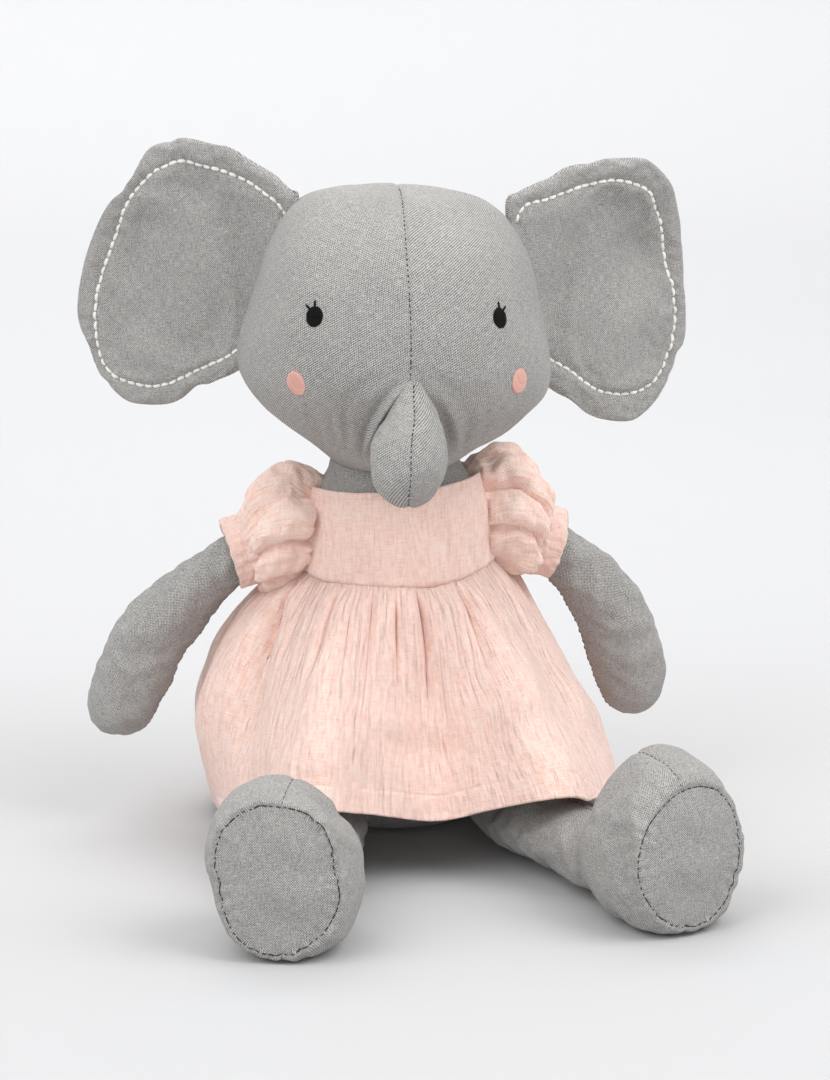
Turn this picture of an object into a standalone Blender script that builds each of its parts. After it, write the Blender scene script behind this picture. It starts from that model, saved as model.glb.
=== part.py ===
"""Seated cloth elephant doll in a gathered dress.

Metres, +Z up. The doll sits on the XY plane and faces -Y; its own left hand is at +X.
The origin is the middle of the flat seat. Every stuffed part is a core of filling inside
a casing of sewn cloth panels, and the dress is a separate set of cloth pieces over it.
"""

import math

import bmesh
import bpy
from mathutils import Matrix, Vector
from mathutils.bvhtree import BVHTree

# Cloth and sewing
CLOTH = 0.0010          # casing cloth with its seam allowance
DRESS_CLOTH = 0.0012    # double gauze
GAP = 0.0003            # air between pieces that touch
SEAM = 0.0004           # air between two panels at a seam, half on each side
CORE_INSET = CLOTH + 0.00035

# Torso: height, half width, half depth
TORSO_RINGS = [
    (0.0000, 0.0340, 0.0310),
    (0.0060, 0.0410, 0.0370),
    (0.0200, 0.0455, 0.0405),
    (0.0450, 0.0480, 0.0430),
    (0.0800, 0.0465, 0.0415),
    (0.1150, 0.0425, 0.0375),
    (0.1400, 0.0400, 0.0345),
    (0.1520, 0.0360, 0.0315),
    (0.1575, 0.0320, 0.0290),
]
TORSO_SEAM_Y = 0.006    # the side seams lie a little behind the middle

# Neck and head
NECK_PIVOT = Vector((0.0, 0.0, 0.158))
NECK_RINGS = [(0.0000, 0.0320, 0.0285), (0.0035, 0.0300, 0.0268), (0.0070, 0.0285, 0.0255)]
HEAD_TURN = math.radians(-4.5)
HEAD_TILT = math.radians(1.5)
HEAD_CENTRE = Vector((0.0, -0.004, 0.069))
HEAD_RADII = Vector((0.0715, 0.0660, 0.0665))
HEAD_SQUARENESS = 2.4
HEAD_FLAT_Z = 0.0088    # flat where the neck is sewn on
HEAD_SEAM_Y = 0.000     # side seams that hold the ears
EYE_X, EYE_Z, EYE_SIZE = 0.0405, 0.0845, (0.0042, 0.0052)
CHEEK_X, CHEEK_Z, CHEEK_SIZE = 0.0490, 0.0550, (0.0052, 0.0062)
EMBROIDERY = 0.0006

# Trunk: drop below the bridge, forward of the pivot, half width, half depth
BRIDGE = Vector((0.0, -0.0725, 0.0555))
TRUNK_RINGS = [
    (0.0020, 0.0030, 0.0035, 0.0022),
    (0.0080, 0.0040, 0.0080, 0.0062),
    (0.0150, 0.0055, 0.0130, 0.0110),
    (0.0230, 0.0070, 0.0168, 0.0145),
    (0.0310, 0.0078, 0.0180, 0.0160),
    (0.0390, 0.0078, 0.0165, 0.0148),
    (0.0450, 0.0080, 0.0120, 0.0110),
    (0.0495, 0.0082, 0.0050, 0.0045),
]

# Ears
EAR_ROOT = Vector((0.062, 0.005, 0.089))
EAR_SWEEP = math.radians(25.0)
EAR_DROP = {"left": -0.0030, "right": 0.0045}
EAR_OUT = {"left": 0.0030, "right": -0.0010}
EAR_PANEL = 0.0013
EAR_CLEAR = 0.0040      # room for the ear to flap beside the head
EAR_OUTLINE = [
    (-0.020, 0.034), (-0.002, 0.050), (0.020, 0.058), (0.040, 0.061), (0.057, 0.056),
    (0.070, 0.044), (0.079, 0.027), (0.086, 0.008), (0.089, -0.012), (0.087, -0.031),
    (0.080, -0.047), (0.068, -0.058), (0.053, -0.061), (0.037, -0.058), (0.021, -0.049),
    (0.002, -0.038),
]
EAR_MIDDLE = Vector((0.040, -0.001))
EAR_ROOT_LEAN = 0.30    # the sewn edge moves out this much for each step down
STITCH_INSET = 0.010
THREAD = 0.0010

# Arms: along the arm from the shoulder (outward, down, radius)
SHOULDER = Vector((0.0460, 0.004, 0.140))
ARM_RINGS = [
    (0.0300, 0.0180, 0.0100),
    (0.0350, 0.0212, 0.0125),
    (0.0450, 0.0290, 0.0138),
    (0.0550, 0.0420, 0.0150),
    (0.0625, 0.0570, 0.0155),
    (0.0670, 0.0720, 0.0150),
    (0.0685, 0.0840, 0.0138),
    (0.0690, 0.0930, 0.0100),
    (0.0690, 0.0975, 0.0050),
]
ARM_SPREAD = {"left": 0.0, "right": math.radians(6.5)}

# Legs: along the leg from the hip, half width, half height, middle height
HIP = Vector((0.030, -0.030, 0.018))
LEG_SPLAY = {"left": math.radians(21.0), "right": math.radians(15.5)}
LEG_RINGS = [
    (0.0220, 0.0120, 0.0080, 0.0180),
    (0.0330, 0.0165, 0.0145, 0.0180),
    (0.0500, 0.0175, 0.0172, 0.0180),
    (0.0850, 0.0180, 0.0180, 0.0184),
    (0.1080, 0.0185, 0.0195, 0.0200),
    (0.1200, 0.0205, 0.0255, 0.0256),
    (0.1320, 0.0238, 0.0325, 0.0325),
    (0.1440, 0.0255, 0.0348, 0.0348),
    (0.1520, 0.0252, 0.0335, 0.0338),
    (0.1565, 0.0232, 0.0305, 0.0318),
]
SOLE_TRIM = 0.0014      # the casing stops short of its front, where the sole is sewn in

# Dress
WAIST_Z = 0.1180
NECKLINE_Z = 0.1570
BODICE_EASE = 0.0014
ARMHOLE_RADIUS = 0.0150
SLEEVE_RINGS = [
    # out from the shoulder, down, radius, share of the arm's slope
    (0.0012, -0.0010, 0.0215, 0.00),
    (0.0060, 0.0000, 0.0250, 0.20),
    (0.0145, 0.0035, 0.0262, 0.50),
    (0.0235, 0.0100, 0.0232, 0.85),
    (0.0295, 0.0155, 0.0172, 1.00),
]
ARM_SLOPE = math.radians(33.0)
CUFF_WIDTH = 0.0085
CUFF_RADIUS = 0.0172
SKIRT_WAIST = (0.0460, 0.0412)
SKIRT_ROWS = 5
SKIRT_SEAM_Y = 0.010
HEM_LEFT = [
    # one side of the hem, front to back
    (0.0000, -0.0980, 0.0240),
    (0.0240, -0.1100, 0.0350),
    (0.0520, -0.1300, 0.0430),
    (0.0780, -0.1120, 0.0405),
    (0.0930, -0.0680, 0.0200),
    (0.0985, -0.0150, 0.0090),
    (0.0920, 0.0330, 0.0040),
    (0.0580, 0.0680, 0.0030),
    (0.0000, 0.0800, 0.0030),
]
SNAP_RADIUS = 0.0035

ROUND = 16              # sides of a limb
HEAD_SEGMENTS, HEAD_RINGS = 20, 12
SKIRT_POINTS = 36
WIDE = 0.6              # cutters reach past the whole doll

LINEN = (0.285, 0.275, 0.262, 1.0)
FILLING = (0.80, 0.79, 0.76, 1.0)
GAUZE = (0.86, 0.62, 0.53, 1.0)
CREAM = (0.80, 0.76, 0.68, 1.0)
BLACK = (0.012, 0.011, 0.011, 1.0)
BLUSH = (0.72, 0.30, 0.25, 1.0)


def clear_scene():
    for obj in list(bpy.data.objects):
        bpy.data.objects.remove(obj, do_unlink=True)


def new_collection(name):
    collection = bpy.data.collections.new(name)
    bpy.context.scene.collection.children.link(collection)
    return collection


clear_scene()
DOLL = new_collection("stuffed_elephant")
CUTTERS = new_collection("cutters")


def material(name, colour, roughness):
    found = bpy.data.materials.get(name)
    if found:
        return found
    made = bpy.data.materials.new(name)
    made.use_nodes = True
    shader = made.node_tree.nodes["Principled BSDF"]
    shader.inputs["Base Color"].default_value = colour
    shader.inputs["Roughness"].default_value = roughness
    shader.inputs["Metallic"].default_value = 0.0
    made.diffuse_color = colour
    return made


def add_part(name, mesh, finish, parent=None):
    obj = bpy.data.objects.new(name, mesh)
    mesh.materials.clear()
    mesh.materials.append(finish)
    mesh.shade_smooth()
    DOLL.objects.link(obj)
    obj.parent = parent
    return obj


def add_pivot(name, matrix, parent=None):
    pivot = bpy.data.objects.new(name, None)
    pivot.empty_display_size = 0.02
    DOLL.objects.link(pivot)
    pivot.parent = parent
    pivot.matrix_local = matrix
    return pivot


def add_cutter(name, mesh, parent=None):
    obj = bpy.data.objects.new(name, mesh)
    obj.hide_render = True
    obj.display_type = "WIRE"
    CUTTERS.objects.link(obj)
    obj.parent = parent
    return obj


def mesh_from(name, bm):
    bmesh.ops.recalc_face_normals(bm, faces=bm.faces)
    mesh = bpy.data.meshes.new(name)
    bm.to_mesh(mesh)
    bm.free()
    return mesh


def box_mesh(name, low, high):
    """A box between two corners."""
    bm = bmesh.new()
    bmesh.ops.create_cube(bm, size=1.0)
    low, high = Vector(low), Vector(high)
    size = high - low
    bmesh.ops.scale(bm, vec=size, verts=bm.verts)
    bmesh.ops.translate(bm, vec=(low + high) / 2, verts=bm.verts)
    return mesh_from(name, bm)


def ring(centre, across, up, half_across, half_up, count=ROUND):
    """Points of an ellipse around centre, in the plane of across and up."""
    turns = [2 * math.pi * (i + 0.5) / count for i in range(count)]
    return [
        centre + across * half_across * math.cos(t) + up * half_up * math.sin(t)
        for t in turns
    ]


def loft(name, rings, closed=True):
    """Faces between rings of equal count, with flat ends when closed."""
    bm = bmesh.new()
    loops = [[bm.verts.new(p) for p in points] for points in rings]
    count = len(loops[0])
    for a, b in zip(loops, loops[1:]):
        for i in range(count):
            j = (i + 1) % count
            bm.faces.new((a[i], a[j], b[j], b[i]))
    if closed:
        bm.faces.new(loops[0])
        bm.faces.new(loops[-1])
    return mesh_from(name, bm)


def offset_mesh(name, mesh, distance):
    """The same surface moved along its normals, at an even distance from every face."""
    bm = bmesh.new()
    bm.from_mesh(mesh)
    bm.normal_update()
    moves = [v.normal * distance * v.calc_shell_factor() for v in bm.verts]
    for vert, move in zip(bm.verts, moves):
        vert.co += move
    return mesh_from(name, bm)


def thicken(obj, thickness, offset=-1.0):
    solidify = obj.modifiers.new("cloth", "SOLIDIFY")
    solidify.thickness = thickness
    solidify.offset = offset
    solidify.use_even_offset = True


def boolean(obj, operation, cutter):
    cut = obj.modifiers.new(operation.lower(), "BOOLEAN")
    cut.operation = operation
    cut.object = cutter
    cut.solver = "EXACT"


def casing_panel(name, surface, finish, parent, low, high, matrix=Matrix()):
    """The part of a hollow casing that lies in a box given in the frame of matrix."""
    panel = add_part(name, surface.copy(), finish, parent)
    thicken(panel, CLOTH)
    cutter = add_cutter(name + "_cut", box_mesh(name + "_cut", low, high), parent)
    cutter.matrix_local = matrix
    boolean(panel, "INTERSECT", cutter)
    return panel


def filling(name, surface, parent):
    core = offset_mesh(name, surface, -CORE_INSET)
    return add_part(name, core, STUFFING, parent)


def smooth_points(points, per_span, closed=False):
    """Points of a Catmull-Rom curve through the given ones."""
    points = [Vector(p) for p in points]
    count = len(points)
    spans = count if closed else count - 1
    result = []
    for i in range(spans):
        if closed:
            p = [points[(i + k) % count] for k in (-1, 0, 1, 2)]
        else:
            p = [points[min(max(i + k, 0), count - 1)] for k in (-1, 0, 1, 2)]
        for step in range(per_span):
            t = step / per_span
            result.append(
                0.5
                * (
                    2 * p[1]
                    + (p[2] - p[0]) * t
                    + (2 * p[0] - 5 * p[1] + 4 * p[2] - p[3]) * t**2
                    + (3 * p[1] - p[0] - 3 * p[2] + p[3]) * t**3
                )
            )
    if not closed:
        result.append(points[-1])
    return result


def curve_mesh(name, curve):
    """A curve object's surface as a closed mesh."""
    holder = bpy.data.objects.new(name, curve)
    bpy.context.scene.collection.objects.link(holder)
    graph = bpy.context.evaluated_depsgraph_get()
    mesh = bpy.data.meshes.new_from_object(holder.evaluated_get(graph))
    bpy.data.objects.remove(holder, do_unlink=True)
    bm = bmesh.new()
    bm.from_mesh(mesh)
    bmesh.ops.remove_doubles(bm, verts=bm.verts, dist=0.000001)
    return mesh_from(name, bm)


def poly_curve(name, points, cyclic=False, flat=False):
    curve = bpy.data.curves.new(name, "CURVE")
    curve.dimensions = "2D" if flat else "3D"
    spline = curve.splines.new("POLY")
    spline.points.add(len(points) - 1)
    for slot, point in zip(spline.points, points):
        slot.co = (*point, 1.0)
    spline.use_cyclic_u = cyclic
    return curve


def side_sign(side):
    return 1 if side == "left" else -1


LINEN_CLOTH = material("linen_grey", LINEN, 0.92)
STUFFING = material("fibre_filling", FILLING, 0.95)
GAUZE_CLOTH = material("double_gauze_pink", GAUZE, 0.93)
CREAM_THREAD = material("thread_cream", CREAM, 0.80)
BLACK_THREAD = material("thread_black", BLACK, 0.60)
BLUSH_THREAD = material("thread_blush", BLUSH, 0.70)
SNAP_SHELL = material("snap_shell", CREAM, 0.45)


# Torso


def torso_ring(height, half_width, half_depth, count=ROUND + 8):
    return ring(Vector((0, 0, height)), Vector((1, 0, 0)), Vector((0, 1, 0)),
                half_width, half_depth, count)


def torso_size(height):
    """Half width and half depth of the torso at a height."""
    for low, high in zip(TORSO_RINGS, TORSO_RINGS[1:]):
        if low[0] <= height <= high[0]:
            t = (height - low[0]) / (high[0] - low[0])
            return low[1] + (high[1] - low[1]) * t, low[2] + (high[2] - low[2]) * t
    return TORSO_RINGS[-1][1:]


def build_torso():
    body = loft("torso_surface", [torso_ring(*row) for row in TORSO_RINGS])
    edge = SEAM / 2
    casing_panel("torso_front_panel", body, LINEN_CLOTH, None,
                 (-WIDE, -WIDE, -WIDE), (WIDE, TORSO_SEAM_Y - edge, WIDE))
    casing_panel("torso_back_panel", body, LINEN_CLOTH, None,
                 (-WIDE, TORSO_SEAM_Y + edge, -WIDE), (WIDE, WIDE, WIDE))
    filling("torso_stuffing", body, None)


# Neck and head


def build_neck():
    pivot = add_pivot("neck_pivot", Matrix.Translation(NECK_PIVOT))
    column = loft("neck_surface", [torso_ring(*row) for row in NECK_RINGS])
    tube = add_part("neck_casing", column.copy(), LINEN_CLOTH, pivot)
    thicken(tube, CLOTH)
    bore = add_cutter("neck_bore", box_mesh("neck_bore", (-WIDE, -WIDE, 0.0015),
                                            (WIDE, WIDE, 0.0055)), pivot)
    boolean(tube, "INTERSECT", bore)
    filling("neck_stuffing", column, pivot)
    return pivot


def head_surface(name, extra=0.0):
    """A squarish ellipsoid with a flat underside for the neck."""
    bm = bmesh.new()
    bmesh.ops.create_uvsphere(bm, u_segments=HEAD_SEGMENTS, v_segments=HEAD_RINGS, radius=1.0)
    power = HEAD_SQUARENESS
    for vert in bm.verts:
        size = sum(abs(c) ** power for c in vert.co) ** (1 / power)
        unit = vert.co / size
        vert.co = Vector(u * r for u, r in zip(unit, HEAD_RADII + Vector((extra,) * 3)))
        vert.co += HEAD_CENTRE
    everything = bm.verts[:] + bm.edges[:] + bm.faces[:]
    cut = bmesh.ops.bisect_plane(
        bm, geom=everything, dist=0.00001, plane_co=(0, 0, HEAD_FLAT_Z - extra),
        plane_no=(0, 0, -1), clear_outer=True)
    rim = [e for e in cut["geom_cut"] if isinstance(e, bmesh.types.BMEdge)]
    bmesh.ops.holes_fill(bm, edges=rim)
    return mesh_from(name, bm)


def surface_tree(mesh):
    bm = bmesh.new()
    bm.from_mesh(mesh)
    tree = BVHTree.FromBMesh(bm)
    bm.free()
    return tree


def embroidery(name, tree, x, z, size, finish, parent):
    """A thin oval patch of thread just off the face."""
    point, normal, _, _ = tree.ray_cast(Vector((x, -WIDE, z)), Vector((0, 1, 0)))
    bm = bmesh.new()
    bmesh.ops.create_cone(bm, cap_ends=True, segments=ROUND, radius1=1.0, radius2=1.0,
                          depth=EMBROIDERY)
    bmesh.ops.scale(bm, vec=(size[0], size[1], 1.0), verts=bm.verts)
    upright = (Vector((0, 0, 1)) - normal * normal.z).normalized()
    frame = Matrix((upright.cross(normal), upright, normal)).transposed().to_4x4()
    centre = point + normal * (EMBROIDERY / 2 + GAP * 2)
    bmesh.ops.transform(bm, matrix=Matrix.Translation(centre) @ frame, verts=bm.verts)
    return add_part(name, mesh_from(name, bm), finish, parent)


def build_head(neck):
    turn = Matrix.Rotation(HEAD_TURN, 4, "Z") @ Matrix.Rotation(HEAD_TILT, 4, "Y")
    pivot = add_pivot("head_pivot", turn, neck)
    ball = head_surface("head_surface")
    edge = SEAM / 2
    for side, low_x, high_x in (("left", edge, WIDE), ("right", -WIDE, -edge)):
        casing_panel(f"head_front_{side}", ball, LINEN_CLOTH, pivot,
                     (low_x, -WIDE, -WIDE), (high_x, HEAD_SEAM_Y - edge, WIDE))
        casing_panel(f"head_back_{side}", ball, LINEN_CLOTH, pivot,
                     (low_x, HEAD_SEAM_Y + edge, -WIDE), (high_x, WIDE, WIDE))
    filling("head_stuffing", ball, pivot)
    tree = surface_tree(ball)
    for side in ("left", "right"):
        sign = side_sign(side)
        embroidery(f"eye_{side}", tree, sign * EYE_X, EYE_Z, EYE_SIZE, BLACK_THREAD, pivot)
        embroidery(f"cheek_{side}", tree, sign * CHEEK_X, CHEEK_Z, CHEEK_SIZE,
                   BLUSH_THREAD, pivot)
    return pivot


def build_trunk(head):
    pivot = add_pivot("trunk_pivot", Matrix.Translation(BRIDGE), head)
    across, deep = Vector((1, 0, 0)), Vector((0, 1, 0))
    rings = [
        ring(Vector((0, -forward, -drop)), across, deep, half_width, half_depth)
        for drop, forward, half_width, half_depth in TRUNK_RINGS
    ]
    sack = loft("trunk_surface", rings)
    edge = SEAM / 2
    casing_panel("trunk_left_panel", sack, LINEN_CLOTH, pivot,
                 (edge, -WIDE, -WIDE), (WIDE, WIDE, WIDE))
    casing_panel("trunk_right_panel", sack, LINEN_CLOTH, pivot,
                 (-WIDE, -WIDE, -WIDE), (-edge, WIDE, WIDE))
    filling("trunk_stuffing", sack, pivot)


# Ears


def ear_frame(side):
    """Local X along the ear, Y up, Z out of its front face."""
    sign = side_sign(side)
    root = Vector((sign * (EAR_ROOT.x + EAR_OUT[side]), EAR_ROOT.y,
                   EAR_ROOT.z + EAR_DROP[side]))
    front = Vector((sign * math.sin(EAR_SWEEP), -math.cos(EAR_SWEEP), 0))
    up = Vector((0, 0, 1))
    frame = Matrix((up.cross(front), up, front)).transposed().to_4x4()
    return Matrix.Translation(root) @ frame


def build_ear(side, head, head_cutter):
    sign = side_sign(side)
    pivot = add_pivot(f"ear_{side}_pivot", ear_frame(side), head)
    outline = smooth_points([(u, v, 0) for u, v in EAR_OUTLINE], 2)
    flat = [Vector((sign * p.x, p.y, 0)) for p in outline]
    for face, height in (("front", GAP / 2 + EAR_PANEL / 2), ("back", -GAP / 2 - EAR_PANEL / 2)):
        name = f"ear_{side}_{face}_panel"
        curve = poly_curve(name, flat, cyclic=True, flat=True)
        curve.fill_mode = "BOTH"
        curve.extrude = EAR_PANEL / 2
        mesh = curve_mesh(name, curve)
        mesh.transform(Matrix.Translation((0, 0, height)))
        panel = add_part(name, mesh, LINEN_CLOTH, pivot)
        boolean(panel, "DIFFERENCE", head_cutter)
    height = GAP / 2 + EAR_PANEL + GAP + THREAD / 2
    route = []
    for point in outline:
        arm = Vector((point.x, point.y)) - EAR_MIDDLE
        inset = EAR_MIDDLE + arm * (1 - STITCH_INSET / arm.length)
        if inset.x > STITCH_INSET - EAR_ROOT_LEAN * inset.y:
            route.append(Vector((sign * inset.x, inset.y, height)))
    curve = poly_curve(f"ear_{side}_topstitch", route)
    curve.bevel_depth = THREAD / 2
    curve.bevel_resolution = 2
    curve.use_fill_caps = True
    add_part(curve.name, curve_mesh(curve.name, curve), CREAM_THREAD, pivot)


# Arms


def arm_point(side, out, down):
    """A point of the arm from the shoulder, turned by the side's own spread."""
    spread = ARM_SPREAD[side]
    x = out * math.cos(spread) + down * math.sin(spread)
    z = out * math.sin(spread) - down * math.cos(spread)
    return Vector((side_sign(side) * x, 0, z))


def build_shoulder(side):
    centre = Vector((side_sign(side) * SHOULDER.x, SHOULDER.y, SHOULDER.z))
    return add_pivot(f"shoulder_{side}_pivot", Matrix.Translation(centre))


def tube_rings(stations, side, count=ROUND):
    """Round sections across a path that lies in the XZ plane."""
    centres = [arm_point(side, out, down) for out, down, _ in stations]
    rings = []
    for i, (_, _, radius) in enumerate(stations):
        before, after = centres[max(i - 1, 0)], centres[min(i + 1, len(centres) - 1)]
        along = (after - before).normalized()
        forward = Vector((0, 1, 0))
        rings.append(ring(centres[i], forward, along.cross(forward), radius, radius, count))
    return rings


def build_arm(side, shoulder):
    pivot = add_pivot(f"arm_{side}_pivot", Matrix(), shoulder)
    limb = loft(f"arm_{side}_surface", tube_rings(ARM_RINGS, side))
    edge = SEAM / 2
    casing_panel(f"arm_{side}_front_panel", limb, LINEN_CLOTH, pivot,
                 (-WIDE, -WIDE, -WIDE), (WIDE, -edge, WIDE))
    casing_panel(f"arm_{side}_back_panel", limb, LINEN_CLOTH, pivot,
                 (-WIDE, edge, -WIDE), (WIDE, WIDE, WIDE))
    filling(f"arm_{side}_stuffing", limb, pivot)
    tab_rings = []
    for out, down, half_thick, half_tall in (
        (0.0005, 0.0000, 0.0014, 0.0100),
        (0.0140, 0.0075, 0.0018, 0.0085),
        (0.0270, 0.0160, 0.0030, 0.0080),
    ):
        slope = Vector((side_sign(side) * 0.5, 0, 0.86))
        tab_rings.append(ring(arm_point(side, out, down), Vector((0, 1, 0)), slope,
                              half_thick, half_tall, 12))
    add_part(f"shoulder_{side}_tab", loft(f"shoulder_{side}_tab", tab_rings),
             LINEN_CLOTH, shoulder)
    return pivot


# Legs


def build_leg(side):
    sign = side_sign(side)
    splay = LEG_SPLAY[side]
    hip = Vector((sign * HIP.x, HIP.y, HIP.z))
    # local X along the leg, Y out of its outer side, Z up
    along = Vector((sign * math.sin(splay), -math.cos(splay), 0))
    outward = Vector((sign * math.cos(splay), math.sin(splay), 0))
    frame = Matrix((along, Vector((0, 0, 1)).cross(along), Vector((0, 0, 1)))).transposed()
    pivot = add_pivot(f"hip_{side}_pivot", Matrix.Translation(hip) @ frame.to_4x4())
    outer_sign = 1 if frame.col[1].dot(outward) > 0 else -1
    across, up = Vector((0, 1, 0)), Vector((0, 0, 1))
    count = ROUND + 2
    rings = [
        ring(Vector((s, 0, middle - HIP.z)), across, up, half_width, half_height, count)
        for s, half_width, half_height, middle in LEG_RINGS
    ]
    limb = loft(f"leg_{side}_surface", rings)
    front = LEG_RINGS[-1][0]
    edge = SEAM / 2
    spans = {1: (edge, WIDE), -1: (-WIDE, -edge)}
    for face, which in (("outer", outer_sign), ("inner", -outer_sign)):
        low_y, high_y = spans[which]
        casing_panel(f"leg_{side}_{face}_panel", limb, LINEN_CLOTH, pivot,
                     (-WIDE, low_y, -WIDE), (front - SOLE_TRIM, high_y, WIDE))
    filling(f"leg_{side}_stuffing", limb, pivot)
    _, half_width, half_height, middle = LEG_RINGS[-1]
    back = front - CLOTH
    sole_rings = [
        ring(Vector((s, 0, middle - HIP.z)), across, up, half_width - inset,
             half_height - inset, count)
        for s, inset in ((back, 0.0), (front - 0.0002, 0.0), (front + 0.0002, 0.0010))
    ]
    add_part(f"leg_{side}_sole", loft(f"leg_{side}_sole", sole_rings), LINEN_CLOTH, pivot)
    tab = [
        ring(Vector((s, 0, 0)), across, up, half_width, 0.0022, 12)
        for s, half_width in ((0.0130, 0.0115), (0.0215, 0.0110))
    ]
    add_part(f"hip_{side}_tab", loft(f"hip_{side}_tab", tab), LINEN_CLOTH, pivot)


# Dress


def build_bodice():
    heights = [WAIST_Z + 0.0004, 0.1275, 0.1400, 0.1500, NECKLINE_Z]
    rings = []
    for height in heights:
        half_width, half_depth = torso_size(height)
        ease = BODICE_EASE + DRESS_CLOTH
        rings.append(torso_ring(height, half_width + ease, half_depth + ease))
    shell = loft("bodice_surface", rings, closed=False)
    bm = bmesh.new()
    bmesh.ops.create_cone(bm, cap_ends=True, segments=24, radius1=ARMHOLE_RADIUS,
                          radius2=ARMHOLE_RADIUS, depth=WIDE)
    bmesh.ops.rotate(bm, matrix=Matrix.Rotation(math.pi / 2, 3, "Y"), verts=bm.verts)
    bmesh.ops.translate(bm, vec=(0, SHOULDER.y, SHOULDER.z), verts=bm.verts)
    armholes = add_cutter("armholes", mesh_from("armholes", bm))
    edge = SEAM / 2
    seam = TORSO_SEAM_Y
    pieces = (
        ("bodice_front", (-WIDE, -WIDE, -WIDE), (WIDE, seam - edge, WIDE)),
        ("bodice_back_left", (edge, seam + edge, -WIDE), (WIDE, WIDE, WIDE)),
        ("bodice_back_right", (-WIDE, seam + edge, -WIDE), (-edge, WIDE, WIDE)),
    )
    for name, low, high in pieces:
        piece = add_part(name, shell.copy(), GAUZE_CLOTH)
        thicken(piece, DRESS_CLOTH)
        boolean(piece, "INTERSECT", add_cutter(name + "_cut", box_mesh(name, low, high)))
        boolean(piece, "DIFFERENCE", armholes)


def build_snaps():
    for name, height in (("back_snap_upper", 0.1490), ("back_snap_lower", 0.1290)):
        _, half_depth = torso_size(height)
        surface = half_depth + BODICE_EASE + DRESS_CLOTH
        bm = bmesh.new()
        bmesh.ops.create_cone(bm, cap_ends=True, segments=ROUND, radius1=SNAP_RADIUS,
                              radius2=SNAP_RADIUS * 0.8, depth=0.0012)
        bmesh.ops.rotate(bm, matrix=Matrix.Rotation(-math.pi / 2, 3, "X"), verts=bm.verts)
        bmesh.ops.translate(bm, vec=(0, surface + 0.0012, height), verts=bm.verts)
        add_part(name, mesh_from(name, bm), SNAP_SHELL)


def build_sleeve(side, shoulder, arm):
    sign = side_sign(side)
    forward = Vector((0, 1, 0))

    def slanted(out, down, radius, share):
        turn = share * ARM_SPREAD[side]
        x = out * math.cos(turn) + down * math.sin(turn)
        z = out * math.sin(turn) - down * math.cos(turn)
        slope = share * ARM_SLOPE - turn
        up = Vector((sign * math.sin(slope), 0, math.cos(slope)))
        return ring(Vector((sign * x, 0, z)), forward, up, radius, radius)

    puff = loft(f"sleeve_{side}", [slanted(*row) for row in SLEEVE_RINGS], closed=False)
    sleeve = add_part(f"sleeve_{side}", puff, GAUZE_CLOTH, shoulder)
    thicken(sleeve, DRESS_CLOTH)
    out, down, _, _ = SLEEVE_RINGS[-1]
    rings = []
    for travel in (GAP * 2, CUFF_WIDTH):
        rings.append(slanted(out + travel * math.cos(ARM_SLOPE),
                             down + travel * math.sin(ARM_SLOPE), CUFF_RADIUS, 1.0))
    band = loft(f"cuff_{side}", rings, closed=False)
    cuff = add_part(f"cuff_{side}", band, GAUZE_CLOTH, arm)
    thicken(cuff, DRESS_CLOTH)


def hem_points():
    right = [(-x, y, z) for x, y, z in reversed(HEM_LEFT[1:-1])]
    whole = smooth_points(HEM_LEFT + right, 8, closed=True)
    step = len(whole) / SKIRT_POINTS
    return [whole[int(i * step)] for i in range(SKIRT_POINTS)]


def build_skirt():
    hem = hem_points()
    half_width, half_depth = SKIRT_WAIST
    rows = []
    for row in range(SKIRT_ROWS + 1):
        t = row / SKIRT_ROWS
        points = []
        for i, low in enumerate(hem):
            angle = 2 * math.pi * i / SKIRT_POINTS
            top = Vector((half_width * math.sin(angle), -half_depth * math.cos(angle), WAIST_Z))
            point = top.lerp(low, t)
            swell = 0.007 * math.sin(math.pi * min(1.0, t * 1.25)) * (1 - t)
            outward = Vector((math.sin(angle), -math.cos(angle), 0.35))
            points.append(point + outward * swell)
        rows.append(points)
    bell = loft("skirt_surface", rows, closed=False)
    edge = SEAM / 2
    for name, low, high in (
        ("skirt_front", (-WIDE, -WIDE, -WIDE), (WIDE, SKIRT_SEAM_Y - edge, WIDE)),
        ("skirt_back", (-WIDE, SKIRT_SEAM_Y + edge, -WIDE), (WIDE, WIDE, WIDE)),
    ):
        piece = add_part(name, bell.copy(), GAUZE_CLOTH)
        thicken(piece, DRESS_CLOTH)
        boolean(piece, "INTERSECT", add_cutter(name + "_cut", box_mesh(name, low, high)))


def build_doll():
    build_torso()
    neck = build_neck()
    head = build_head(neck)
    build_trunk(head)
    head_cutter = add_cutter("head_clearance", head_surface("head_clearance", EAR_CLEAR), head)
    for side in ("left", "right"):
        build_ear(side, head, head_cutter)
        shoulder = build_shoulder(side)
        arm = build_arm(side, shoulder)
        build_sleeve(side, shoulder, arm)
        build_leg(side)
    build_bodice()
    build_snaps()
    build_skirt()


build_doll()
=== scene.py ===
import math

import bmesh
import bpy
import numpy as np
from mathutils import Matrix, Vector
from mathutils.bvhtree import BVHTree


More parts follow.
